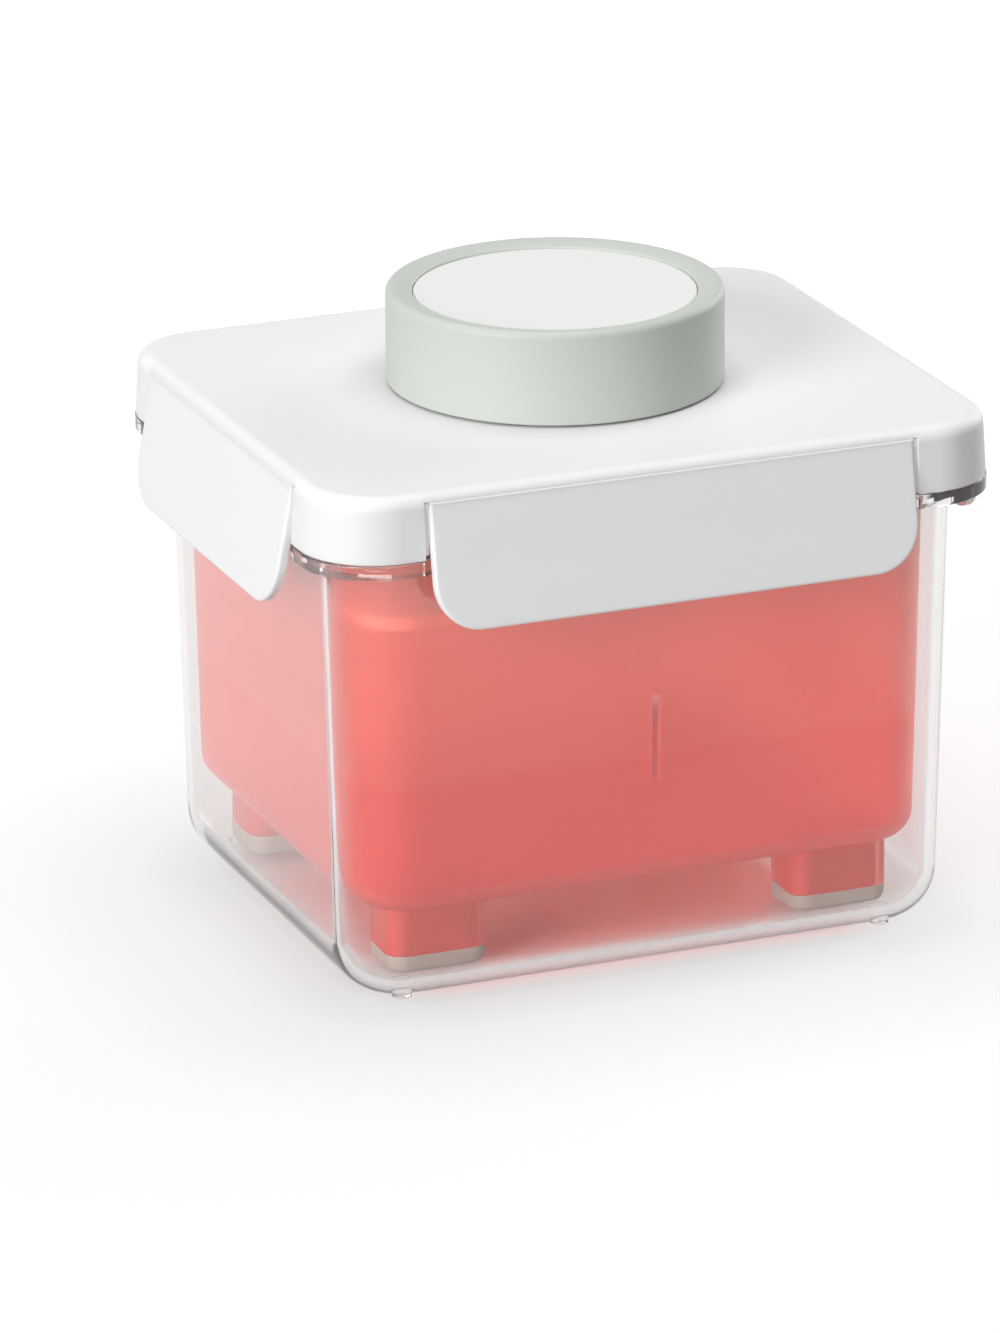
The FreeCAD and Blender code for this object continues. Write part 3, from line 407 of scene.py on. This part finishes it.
def slot_grid(cutter, columns, rows, pitch_x, pitch_y, material):
    """A Geometry Nodes tree that repeats one cutter over a grid."""
    tree = bpy.data.node_groups.new("slot_grid", "GeometryNodeTree")
    face = tree.interface
    face.new_socket("Geometry", in_out="OUTPUT", socket_type="NodeSocketGeometry")
    wide = face.new_socket("Pitch X", in_out="INPUT", socket_type="NodeSocketFloat")
    deep = face.new_socket("Pitch Y", in_out="INPUT", socket_type="NodeSocketFloat")
    start = tree.nodes.new("NodeGroupInput")
    end = tree.nodes.new("NodeGroupOutput")
    grid = tree.nodes.new("GeometryNodeMeshGrid")
    grid.inputs["Vertices X"].default_value = columns
    grid.inputs["Vertices Y"].default_value = rows
    for axis, count in (("X", columns), ("Y", rows)):
        size = tree.nodes.new("ShaderNodeMath")
        size.operation = "MULTIPLY"
        size.inputs[1].default_value = count - 1
        tree.links.new(start.outputs["Pitch " + axis], size.inputs[0])
        tree.links.new(size.outputs[0], grid.inputs["Size " + axis])
    shape = tree.nodes.new("GeometryNodeObjectInfo")
    shape.inputs["Object"].default_value = cutter
    spread = tree.nodes.new("GeometryNodeInstanceOnPoints")
    real = tree.nodes.new("GeometryNodeRealizeInstances")
    tree.links.new(grid.outputs["Mesh"], spread.inputs["Points"])
    tree.links.new(shape.outputs["Geometry"], spread.inputs["Instance"])
    coat = tree.nodes.new("GeometryNodeSetMaterial")
    coat.inputs["Material"].default_value = material
    tree.links.new(spread.outputs["Instances"], real.inputs["Geometry"])
    tree.links.new(real.outputs["Geometry"], coat.inputs["Geometry"])
    tree.links.new(coat.outputs["Geometry"], end.inputs[0])
    cutters = linked("slot_cutters", bpy.data.meshes.new("slot_cutters"))
    step = cutters.modifiers.new("slot_grid", "NODES")
    step.node_group = tree
    step[wide.identifier] = pitch_x
    step[deep.identifier] = pitch_y
    applied(cutters)
    bpy.data.objects.remove(cutter)
    return cutters


drain_cutter = upright_block((0, 0), DRAIN_SIZE, DRAIN_LOW, DRAIN_HIGH)
drain_slots = slot_grid(drain_cutter, DRAIN_COLUMNS, DRAIN_ROWS, DRAIN_PITCH_X * MM,
                        DRAIN_PITCH_Y * MM, coral)
cut_or_join(basket, drain_slots, "DIFFERENCE")

shaded(basket)
put_in(basket, "basket", "coral_plastic", coral, "basket")


# ---- Feet --------------------------------------------------------------------------
# One on each leg of the basket: warm grey silicone, moulded as a sole with a plug that
# is pushed up into the hollow leg. They grip the tub's floor and keep the basket still.
FOOT_NAMES = ("back_right", "back_left", "front_left", "front_right")
SOLE_SIZE, SOLE_LOW, SOLE_HIGH, SOLE_ROUND = LEG_SIZE, 4.05, 9.15, 2
PLUG_SIZE, PLUG_TOP, PLUG_ROUND = (9.65, 6.45, 2.5), 19.3, 0.5


def grey_silicone():
    finish = Finish("grey_silicone")
    bloom = finish.noise(110, 4)
    colour = finish.blend_colours(bloom, (0.27, 0.217, 0.186), (0.315, 0.258, 0.222))
    finish.join(colour, finish.shader.inputs["Base Color"])
    finish.set(Subsurface_Weight=0.12, Subsurface_Scale=0.002, Specular_IOR_Level=0.35)
    finish.shader.inputs["Subsurface Radius"].default_value = (1.0, 0.8, 0.7)
    finish.join(finish.between(bloom, 0.5, 0.66), finish.shader.inputs["Roughness"])
    grain = finish.noise(3400, 2)
    finish.join(finish.bump(grain, 0.00003, 0.5), finish.shader.inputs["Normal"])
    return finish.material


silicone = grey_silicone()
for spot, foot_name in zip(LEG_SPOTS, FOOT_NAMES):
    foot_levels = []
    for grow, z in (fillet(SOLE_ROUND, -SOLE_ROUND, SOLE_LOW + SOLE_ROUND, -90, 0, 6)
                    + fillet(PLUG_ROUND, -PLUG_ROUND, SOLE_HIGH - PLUG_ROUND, 0, 90, 4)):
        foot_levels.append(outline(SOLE_SIZE, grow, z, steps=10))
    for grow, z in [(0, SOLE_HIGH)] + fillet(PLUG_ROUND, -PLUG_ROUND, PLUG_TOP - PLUG_ROUND,
                                             0, 90, 3):
        foot_levels.append(outline(PLUG_SIZE, grow, z, steps=10))
    foot_levels = [[(x + spot[0], y + spot[1], z) for x, y, z in level]
                   for level in foot_levels]
    foot = shaded(linked("foot_" + foot_name, loft("foot_" + foot_name, foot_levels)))
    put_in(foot, "basket", "grey_silicone", silicone, "basket_foot_" + foot_name)


# ---- Lid ---------------------------------------------------------------------------
# White ABS in one moulding: a flat top that rolls into corner skirts, a wall inside
# that carries the seal, and a boss in the middle for the drive. Each side has a round
# channel for a latch's hinge. Its sharp edges are eased as a mould leaves them.
def eased(name, node, width, joined=()):
    """A clean copy of a CAD node with its sharp edges rounded, in millimetres.

    The joined pieces are moulded on to it first.
    """
    shape = bmesh.new()
    shape.from_mesh(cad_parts[node].data)
    bmesh.ops.remove_doubles(shape, verts=shape.verts, dist=2e-6)
    bmesh.ops.dissolve_limit(shape, angle_limit=math.radians(0.4), verts=shape.verts,
                             edges=shape.edges)
    mesh = bpy.data.meshes.new(name)
    shape.to_mesh(mesh)
    shape.free()
    piece = linked(name, mesh)
    for other in joined:
        cut_or_join(piece, other, "UNION")
    bevel = piece.modifiers.new("eased_edges", "BEVEL")
    bevel.width = width * MM
    bevel.segments = 2
    bevel.limit_method = "ANGLE"
    bevel.angle_limit = math.radians(50)
    bevel.use_clamp_overlap = True
    return shaded(applied(piece), 35)


# Each side of the lid: its turn from the front, how far out its top outline lies, and
# half the length of its latch.
LID_SIDES = {"front": (0, 67.05, 56.7), "right": (90, 79.45, 44.3),
             "back": (180, 67.05, 56.7), "left": (270, 79.45, 44.3)}
# A web's section, and where it starts and ends past the end of the latch.
WEB_SECTION = [(-0.75, 107.6), (-0.15, 107.6), (-0.15, 119.1), (-0.75, 119.1)]
WEB_START, WEB_END = 0.12, 1.4


def bar_along(side, section, start, end):
    """A straight bar along one side of the lid, from (distance out, height) pairs."""
    turn, reach, _ = LID_SIDES[side]
    turned_to = Matrix.Rotation(math.radians(turn), 3, "Z")
    ends = [[turned_to @ Vector((along, -reach - out, z)) for out, z in section]
            for along in (start, end)]
    return linked("bar_" + side, loft("bar_" + side, ends))


def gap_webs():
    """A thin web at each end of each skirt, set back, that closes the view past a flap."""
    for side, (_, _, half) in LID_SIDES.items():
        for hand in (1, -1):
            yield bar_along(side, WEB_SECTION, hand * (half + WEB_START),
                            hand * (half + WEB_END))


def white_abs():
    finish = Finish("white_abs")
    cloud = finish.noise(9, 2)
    colour = finish.blend_colours(cloud, (0.845, 0.845, 0.85), (0.865, 0.865, 0.868))
    finish.join(colour, finish.shader.inputs["Base Color"])
    finish.set(Specular_IOR_Level=0.4, Subsurface_Weight=0.35, Subsurface_Scale=0.003)
    finish.shader.inputs["Subsurface Radius"].default_value = (1.0, 0.97, 0.94)
    finish.join(finish.between(finish.noise(45, 4), 0.40, 0.48),
                finish.shader.inputs["Roughness"])
    texture = finish.noise(2200, 3)
    finish.join(finish.bump(texture, 0.00002, 0.4), finish.shader.inputs["Normal"])
    finish.let_light_in(0.5, (0.98, 0.97, 0.95))
    return finish.material


white = white_abs()
lid = eased("lid_moulding", "lid", 0.12, joined=gap_webs())
put_in(lid, "lid", "white_plastic", white, "lid")


# ---- Seal --------------------------------------------------------------------------
# A milky silicone band in the groove of the lid's inner wall. It stands a millimetre
# proud, to wipe the inside of the tub's lip.
SEAL_SIZE, SEAL_ROUND, SEAL_OUT, SEAL_IN = (70.2, 58.6, 13.6), 0.7, 1, 1.05
SEAL_LOW, SEAL_HIGH = 109.45, 111.95


def milky_silicone():
    finish = Finish("milky_silicone")
    bloom = finish.noise(90, 3)
    colour = finish.blend_colours(bloom, (0.74, 0.74, 0.73), (0.80, 0.80, 0.79))
    finish.join(colour, finish.shader.inputs["Base Color"])
    finish.set(Subsurface_Weight=0.3, Subsurface_Scale=0.002, Specular_IOR_Level=0.4)
    finish.join(finish.between(bloom, 0.4, 0.55), finish.shader.inputs["Roughness"])
    finish.join(finish.bump(finish.noise(2800, 2), 0.00002, 0.4),
                finish.shader.inputs["Normal"])
    return finish.material


milky = milky_silicone()
seal_levels = []
seal_centre = SEAL_OUT - SEAL_ROUND
for grow, z in (fillet(SEAL_ROUND, seal_centre, SEAL_LOW + SEAL_ROUND, -90, 0, 4)
                + fillet(SEAL_ROUND, seal_centre, SEAL_HIGH - SEAL_ROUND, 0, 90, 4)
                + [(-SEAL_IN, SEAL_HIGH), (-SEAL_IN, SEAL_LOW)]):
    seal_levels.append(outline(SEAL_SIZE, grow, z))
seal = shaded(linked("lid_seal", loft("lid_seal", seal_levels, ring=True)))
put_in(seal, "lid", "clear_silicone", milky, "lid_gasket")


# ---- Latches -----------------------------------------------------------------------
# Four flaps of the same white ABS. Each turns on two stub pivots in the lid's channel
# and has a hook on its inner face that snaps under the tub's flange. Its top is round
# about the hinge, so that it closes the channel at every angle.
# The hinge is measured in from the lid's outline, and the top's arc is in degrees.
HINGE_IN, HINGE_LEVEL = 1.8, 116.9
TOP_RADIUS, TOP_START, TOP_END, TOP_INSET = 2.88, 46.5, 100, 0.02


def round_top(side):
    section = [(-HINGE_IN, HINGE_LEVEL)]
    section += fillet(TOP_RADIUS, -HINGE_IN, HINGE_LEVEL, TOP_START, TOP_END)
    half = LID_SIDES[side][2] - TOP_INSET
    return bar_along(side, section, -half, half)


for side in LID_SIDES:
    latch = eased("flap_" + side, "latch_" + side, 0.2, joined=[round_top(side)])
    put_in(latch, "latch_" + side, "white_plastic", white, "latch_" + side)


# ---- Knob --------------------------------------------------------------------------
# The grip: a sage green soft-touch ring moulded with the floor that the drive nut is
# screwed to. Its top slopes in to a plain off-white disc that hides the four screws.
TURN_STEPS = 144
KNOB_OUT, KNOB_IN, KNOB_LOW = 37.7, 34.7, 121.75
KNOB_FLOOR_LOW, KNOB_FLOOR_HIGH, FLOOR_EASE = 137.02, 139.82, (1, 1.02)
EDGE_IN, EDGE_OUT, EDGE_TOP, EDGE_TOP_CENTRE = 0.45, 0.5, 1.7, 141.3
KNOB_SLOPE = [(35.3, 142.90), (34.6, 142.76), (33.2, 142.40), (32.3, 142.13),
              (31.95, 141.98), (31.78, 141.75), (31.72, 141.4)]
RECESS_OUT = 31.7
DISC_OUT, DISC_LOW, DISC_HIGH, DISC_EASE, DISC_ROUND = 31.6, 139.92, 141.7, 0.15, 0.4
DISC_FLAT = 20


def turned(name, profile):
    """A solid of revolution about the press's axis, from (radius, height) in mm."""
    turns = [math.tau * i / TURN_STEPS for i in range(TURN_STEPS)]
    return linked(name, loft(name, [[(radius * math.cos(a), radius * math.sin(a), z)
                                     for a in turns] for radius, z in profile]))


def sage_soft_touch():
    finish = Finish("sage_soft_touch")
    cloud = finish.noise(28, 3)
    colour = finish.blend_colours(cloud, (0.545, 0.578, 0.535), (0.565, 0.598, 0.555))
    finish.join(colour, finish.shader.inputs["Base Color"])
    finish.set(Specular_IOR_Level=0.35, Sheen_Weight=0.05, Sheen_Roughness=0.4)
    finish.join(finish.between(finish.noise(70, 4), 0.42, 0.52),
                finish.shader.inputs["Roughness"])
    finish.join(finish.bump(finish.noise(3000, 3), 0.000025, 0.5),
                finish.shader.inputs["Normal"])
    return finish.material


knob_profile = [(0, KNOB_FLOOR_LOW), (KNOB_IN - FLOOR_EASE[0], KNOB_FLOOR_LOW)]
knob_profile += [(KNOB_IN, KNOB_FLOOR_LOW - FLOOR_EASE[1]), (KNOB_IN, KNOB_LOW + EDGE_IN)]
knob_profile += fillet(EDGE_IN, KNOB_IN + EDGE_IN, KNOB_LOW + EDGE_IN, 180, 270, 4)
knob_profile += fillet(EDGE_OUT, KNOB_OUT - EDGE_OUT, KNOB_LOW + EDGE_OUT, -90, 0, 5)
knob_profile += fillet(EDGE_TOP, KNOB_OUT - EDGE_TOP, EDGE_TOP_CENTRE, 0, 78, 10)
knob_profile += KNOB_SLOPE + [(RECESS_OUT, KNOB_FLOOR_HIGH), (0, KNOB_FLOOR_HIGH)]
knob = turned("knob_grip", knob_profile)
shaded(knob, 40)
put_in(knob, "knob", "sage_plastic", sage_soft_touch(), "knob_ring")


def off_white_satin():
    finish = Finish("off_white_satin")
    cloud = finish.noise(20, 2)
    colour = finish.blend_colours(cloud, (0.835, 0.845, 0.825), (0.855, 0.862, 0.845))
    finish.join(colour, finish.shader.inputs["Base Color"])
    finish.set(Specular_IOR_Level=0.4)
    finish.join(finish.between(finish.noise(55, 4), 0.42, 0.5),
                finish.shader.inputs["Roughness"])
    finish.join(finish.bump(finish.noise(2400, 3), 0.00002, 0.4),
                finish.shader.inputs["Normal"])
    return finish.material


disc_profile = [(0, DISC_LOW), (DISC_OUT - DISC_EASE, DISC_LOW)]
disc_profile += [(DISC_OUT, DISC_LOW + DISC_EASE), (DISC_OUT, DISC_HIGH - DISC_ROUND)]
disc_profile += fillet(DISC_ROUND, DISC_OUT - DISC_ROUND, DISC_HIGH - DISC_ROUND, 0, 90, 5)
disc_profile += [(DISC_FLAT, DISC_HIGH), (0, DISC_HIGH)]
disc = turned("knob_face", disc_profile)
shaded(disc, 40)
put_in(disc, "knob", "disc_plastic", off_white_satin(), "knob_disc")


# ---- Drive -------------------------------------------------------------------------
# Under the knob, natural acetal runs on natural acetal: the nut with its three-start
# thread, and a slip washer on the boss. A steel ring holds the nut up from below, and
# an O-ring gives the knob its smooth drag.
def natural_acetal():
    finish = Finish("natural_acetal")
    cloud = finish.noise(35, 3)
    colour = finish.blend_colours(cloud, (0.76, 0.76, 0.735), (0.80, 0.80, 0.78))
    finish.join(colour, finish.shader.inputs["Base Color"])
    finish.set(Subsurface_Weight=0.2, Subsurface_Scale=0.002)
    finish.join(finish.between(finish.noise(130, 4), 0.26, 0.38),
                finish.shader.inputs["Roughness"])
    finish.join(finish.bump(finish.noise(1800, 2, (1, 1, 4)), 0.000015, 0.3),
                finish.shader.inputs["Normal"])
    return finish.material


def spun_steel():
    finish = Finish("spun_steel")
    finish.set(Metallic=1.0)
    lines = finish.noise(4200, 2, (1, 1, 0.15))
    colour = finish.blend_colours(lines, (0.56, 0.56, 0.565), (0.66, 0.66, 0.665))
    finish.join(colour, finish.shader.inputs["Base Color"])
    finish.join(finish.between(lines, 0.22, 0.36), finish.shader.inputs["Roughness"])
    finish.join(finish.bump(lines, 0.00001, 0.3), finish.shader.inputs["Normal"])
    return finish.material


def refinish(node, material):
    """A CAD node that stays as it is and gets its real finish."""
    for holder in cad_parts[node].material_slots:
        holder.material = material


acetal = natural_acetal()
steel = spun_steel()
refinish("drive_nut", acetal)
refinish("slip_washer", acetal)
refinish("snap_ring", steel)
refinish("nut_o_ring", milky)


# ---- Screws ------------------------------------------------------------------------
# Two sets of four countersunk stainless screws with a cross recess: one set joins the
# knob to its nut, the other joins the column's flange to the press plate.
HEAD_RADIUS, HEAD_DEEP, SHANK_RADIUS = 2.7, 1.5, 1.45
RECESS_BARS = ((2.6, 0.8, 1.6), (0.8, 2.6, 1.6))
# Each set's radius from the axis, and the heights of its top and its bottom.
GRIP_SCREWS, PLATE_SCREWS = (21.25, 139.78, 132), (18.4, 91.68, 87.1)


def screw_circle(name, radius, top, bottom, material):
    """A Geometry Nodes tree that makes one screw and stands four on a circle."""
    tree = bpy.data.node_groups.new(name, "GeometryNodeTree")
    face = tree.interface
    face.new_socket("Geometry", in_out="OUTPUT", socket_type="NodeSocketGeometry")
    sizes = {}
    for label, size in (("Circle Radius", radius), ("Top", top),
                        ("Shank", top - bottom - HEAD_DEEP),
                        ("Head Radius", HEAD_RADIUS), ("Shank Radius", SHANK_RADIUS)):
        socket = face.new_socket(label, in_out="INPUT", socket_type="NodeSocketFloat")
        sizes[socket.identifier] = size * MM
    start = tree.nodes.new("NodeGroupInput")
    end = tree.nodes.new("NodeGroupOutput")

    def made(kind, links=(), **numbers):
        node = tree.nodes.new(kind)
        for key, number in numbers.items():
            node.inputs[key.replace("_", " ")].default_value = number
        for key, source in links:
            tree.links.new(source, node.inputs[key])
        return node

    def moved(shape, **at):
        spot = made("ShaderNodeCombineXYZ", list(at.items()))
        return made("GeometryNodeTransform", [("Geometry", shape),
                                              ("Translation", spot.outputs[0])]).outputs[0]

    def less(first, second, share=1.0):
        scaled = made("ShaderNodeMath", [(0, second)])
        scaled.operation = "MULTIPLY"
        scaled.inputs[1].default_value = share
        node = made("ShaderNodeMath", [(0, first), (1, scaled.outputs[0])])
        node.operation = "SUBTRACT"
        return node.outputs[0]

    height = made("ShaderNodeValue")
    height.outputs[0].default_value = HEAD_DEEP * MM
    head = made("GeometryNodeMeshCone", [("Radius Top", start.outputs["Head Radius"]),
                                         ("Radius Bottom", start.outputs["Shank Radius"]),
                                         ("Depth", height.outputs[0])], Vertices=32)
    head_at = moved(head.outputs["Mesh"], Z=less(start.outputs["Top"], height.outputs[0]))
    shank = made("GeometryNodeMeshCylinder", [("Radius", start.outputs["Shank Radius"]),
                                              ("Depth", start.outputs["Shank"])],
                 Vertices=24)
    shank_top = less(start.outputs["Top"], height.outputs[0])
    shank_at = moved(shank.outputs["Mesh"], Z=less(shank_top, start.outputs["Shank"], 0.5))
    cuts = made("GeometryNodeJoinGeometry")
    for size in RECESS_BARS:
        bar = tree.nodes.new("GeometryNodeMeshCube")
        bar.inputs["Size"].default_value = tuple(part * MM for part in size)
        tree.links.new(moved(bar.outputs["Mesh"], Z=start.outputs["Top"]), cuts.inputs[0])
    carved = tree.nodes.new("GeometryNodeMeshBoolean")
    carved.operation, carved.solver = "DIFFERENCE", "EXACT"
    tree.links.new(head_at, carved.inputs["Mesh 1"])
    tree.links.new(cuts.outputs[0], carved.inputs["Mesh 2"])
    whole = made("GeometryNodeJoinGeometry")
    tree.links.new(carved.outputs["Mesh"], whole.inputs[0])
    tree.links.new(shank_at, whole.inputs[0])
    circle = made("GeometryNodeMeshCircle", [("Radius", start.outputs["Circle Radius"])],
                  Vertices=4)
    eighth = made("GeometryNodeTransform", [("Geometry", circle.outputs["Mesh"])],
                  Rotation=(0, 0, math.radians(45)))
    spread = made("GeometryNodeInstanceOnPoints", [("Points", eighth.outputs[0]),
                                                   ("Instance", whole.outputs[0])])
    real = made("GeometryNodeRealizeInstances",
                [("Geometry", spread.outputs["Instances"])])
    coat = made("GeometryNodeSetMaterial", [("Geometry", real.outputs["Geometry"])],
                Material=material)
    tree.links.new(coat.outputs["Geometry"], end.inputs[0])
    screws = linked(name, bpy.data.meshes.new(name))
    step = screws.modifiers.new(name, "NODES")
    step.node_group = tree
    for identifier, size in sizes.items():
        step[identifier] = size
    return shaded(applied(screws), 40)


grip_screws = screw_circle("grip_screws", *GRIP_SCREWS, steel)
put_in(grip_screws, "knob", "screw_steel", steel, "knob_screws")
plate_fixings = screw_circle("plate_fixings", *PLATE_SCREWS, steel)
put_in(plate_fixings, "press", "screw_steel", steel, "plate_screws")


# ---- Column and plate --------------------------------------------------------------
# What the knob drives: a hollow acetal column with three thread starts, and the ribbed
# white plate below it that the basket's walls keep from turning.
refinish("press_column", acetal)
plate = eased("pressing_plate", "press_plate", 0.3)
put_in(plate, "press", "white_plastic", white, "press_plate")


# ---- Table, light and camera -------------------------------------------------------
# A white sweep, one large soft lamp from the front left, a weaker one overhead, another
# from the back right, and a pale sky all round.
TABLE_HALF = 6.0
PATCH_HALF = (0.046, 0.035, 0)
AIM = Vector((0, 0, 0.07))
CAMERA_SPOT = (-0.66578, -1.62026, 0.66926)
CAMERA_YAW, CAMERA_PITCH, CAMERA_ROLL = 21.920, 19.382, -0.416
SENSOR, FOCAL_PIXELS, FRAME_PIXELS = 36, 8239.8, 1333


def bright_to_the_eye(tree, plain, background):
    """Mixes in the plain white where the camera, a gloss or clear plastic sees it."""
    path = tree.nodes.new("ShaderNodeLightPath")
    seen = path.outputs["Is Camera Ray"]
    for ray in ("Is Glossy Ray", "Is Transmission Ray"):
        either = tree.nodes.new("ShaderNodeMath")
        either.operation = "MAXIMUM"
        tree.links.new(seen, either.inputs[0])
        tree.links.new(path.outputs[ray], either.inputs[1])
        seen = either.outputs[0]
    mix = tree.nodes.new("ShaderNodeMixShader")
    tree.links.new(seen, mix.inputs["Fac"])
    tree.links.new(plain, mix.inputs[1])
    tree.links.new(background, mix.inputs[2])
    return mix


floor_mesh = bpy.data.meshes.new("table_top")
floor_mesh.from_pydata([(x * TABLE_HALF, y * TABLE_HALF, 0)
                        for x, y in ((-1, -1), (1, -1), (1, 1), (-1, 1))],
                       [], [(0, 1, 2, 3)])
floor = linked("table_top", floor_mesh)
floor_material = bpy.data.materials.new("white_sweep")
floor_material.use_nodes = True
floor_tree = floor_material.node_tree
floor_tree.nodes.clear()
floor_output = floor_tree.nodes.new("ShaderNodeOutputMaterial")
bare = floor_tree.nodes.new("ShaderNodeBsdfDiffuse")
bare.inputs["Color"].default_value = (0.45, 0.45, 0.45, 1)
# How far a spot of the table is from the patch under the press, and 0 inside it.
away = floor_tree.nodes.new("ShaderNodeTexCoord").outputs["Object"]
depth = floor_tree.nodes.new("ShaderNodeSeparateXYZ")
floor_tree.links.new(away, depth.inputs[0])
for step, by in (("ABSOLUTE", None), ("SUBTRACT", PATCH_HALF), ("MAXIMUM", (0, 0, 0)),
                 ("LENGTH", None)):
    measure = floor_tree.nodes.new("ShaderNodeVectorMath")
    measure.operation = step
    floor_tree.links.new(away, measure.inputs[0])
    if by:
        measure.inputs[1].default_value = by
    away = measure.outputs["Value" if step == "LENGTH" else "Vector"]


def by_distance(*stops):
    """A colour that changes with the distance from the patch under the press.

    Each stop is a distance in metres, and then a colour or a grey.
    """
    ramp = floor_tree.nodes.new("ShaderNodeValToRGB")
    floor_tree.links.new(away, ramp.inputs["Fac"])
    for place, (spot, *colour) in zip(ramp.color_ramp.elements, (stops[0], stops[-1])):
        place.position = spot
        place.color = (*(colour * 3)[:3], 1)
    for spot, *colour in stops[1:-1]:
        ramp.color_ramp.elements.new(spot).color = (*(colour * 3)[:3], 1)
    return ramp.outputs["Color"]


# Under the press the table is painted coral, for light that the basket lets through.
paint = floor_tree.nodes.new("ShaderNodeBsdfDiffuse")
coral_light = by_distance((0.005, 0.80, 0.36, 0.34), (0.013, 0.45, 0.27, 0.26),
                          (0.0195, 0.16))
floor_tree.links.new(coral_light, paint.inputs["Color"])
glow = floor_tree.nodes.new("ShaderNodeEmission")
brighter_behind = floor_tree.nodes.new("ShaderNodeMapRange")
for key, number in (("From Min", -0.05), ("From Max", 0.2),
                    ("To Min", 1.0), ("To Max", 1.04)):
    brighter_behind.inputs[key].default_value = number
strength = floor_tree.nodes.new("ShaderNodeMath")
strength.operation = "MULTIPLY"
floor_tree.links.new(depth.outputs["Y"], brighter_behind.inputs["Value"])
floor_tree.links.new(brighter_behind.outputs["Result"], strength.inputs[0])
# The table's glow is weaker close to the press: this is a painted shadow round the tub, in
# place of a cast one.
painted_shadow = by_distance((0.006, 0), (0.015, 0.45), (0.021, 0.62), (0.04, 0.74), (0.09, 0.83),
                    (0.3, 0.88), (1.0, 0.92))
floor_tree.links.new(painted_shadow, strength.inputs[1])
floor_tree.links.new(strength.outputs[0], glow.inputs["Strength"])
lit_paint = floor_tree.nodes.new("ShaderNodeAddShader")
floor_tree.links.new(paint.outputs["BSDF"], lit_paint.inputs[0])
floor_tree.links.new(glow.outputs["Emission"], lit_paint.inputs[1])
floor_seen = bright_to_the_eye(floor_tree, bare.outputs["BSDF"],
                               lit_paint.outputs["Shader"])
floor_tree.links.new(floor_seen.outputs["Shader"], floor_output.inputs["Surface"])
floor.data.materials.append(floor_material)

world = bpy.data.worlds.new("pale_sky")
bpy.context.scene.world = world
world.use_nodes = True
sky_tree = world.node_tree
sky_tree.nodes.clear()
sky_output = sky_tree.nodes.new("ShaderNodeOutputWorld")
sky = sky_tree.nodes.new("ShaderNodeBackground")
sky.inputs["Strength"].default_value = 0.08
white_sky = sky_tree.nodes.new("ShaderNodeBackground")
white_sky.inputs["Strength"].default_value = 1.0
sky_seen = bright_to_the_eye(sky_tree, sky.outputs["Background"],
                             white_sky.outputs["Background"])
sky_tree.links.new(sky_seen.outputs["Shader"], sky_output.inputs["Surface"])


def soft_lamp(name, spot, size, power):
    """A square lamp aimed at the middle of the press."""
    data = bpy.data.lights.new(name, "AREA")
    data.shape, data.size, data.energy = "SQUARE", size, power
    lamp = bpy.data.objects.new(name, data)
    lamp.location = spot
    lamp.rotation_mode = "QUATERNION"
    lamp.rotation_quaternion = (AIM - lamp.location).to_track_quat("-Z", "Y")
    bpy.context.scene.collection.objects.link(lamp)


soft_lamp("left_softbox", Vector((-2.83, -1.62, 1.1)), 1.8, 103)
soft_lamp("top_softbox", Vector((0.2, -0.1, 2.8)), 2.6, 55)
soft_lamp("back_panel", Vector((2.5, 1.1, 0.9)), 1.6, 32)

camera_data = bpy.data.cameras.new("camera")
camera_data.lens = FOCAL_PIXELS * SENSOR / FRAME_PIXELS
camera_data.sensor_width = SENSOR
camera_data.clip_end = 50
camera = bpy.data.objects.new("camera", camera_data)
yaw, pitch, roll = (math.radians(a) for a in (CAMERA_YAW, CAMERA_PITCH, CAMERA_ROLL))
view = (Matrix.Rotation(-yaw, 4, "Z") @ Matrix.Rotation(math.pi / 2 - pitch, 4, "X")
        @ Matrix.Rotation(roll, 4, "Z"))
camera.matrix_world = Matrix.Translation(CAMERA_SPOT) @ view
bpy.context.scene.collection.objects.link(camera)
bpy.context.scene.camera = camera
bpy.context.scene.view_settings.view_transform = "Standard"
bpy.context.scene.cycles.transparent_max_bounces = 16
bpy.context.scene.cycles.max_bounces = 24
bpy.context.scene.cycles.transmission_bounces = 24
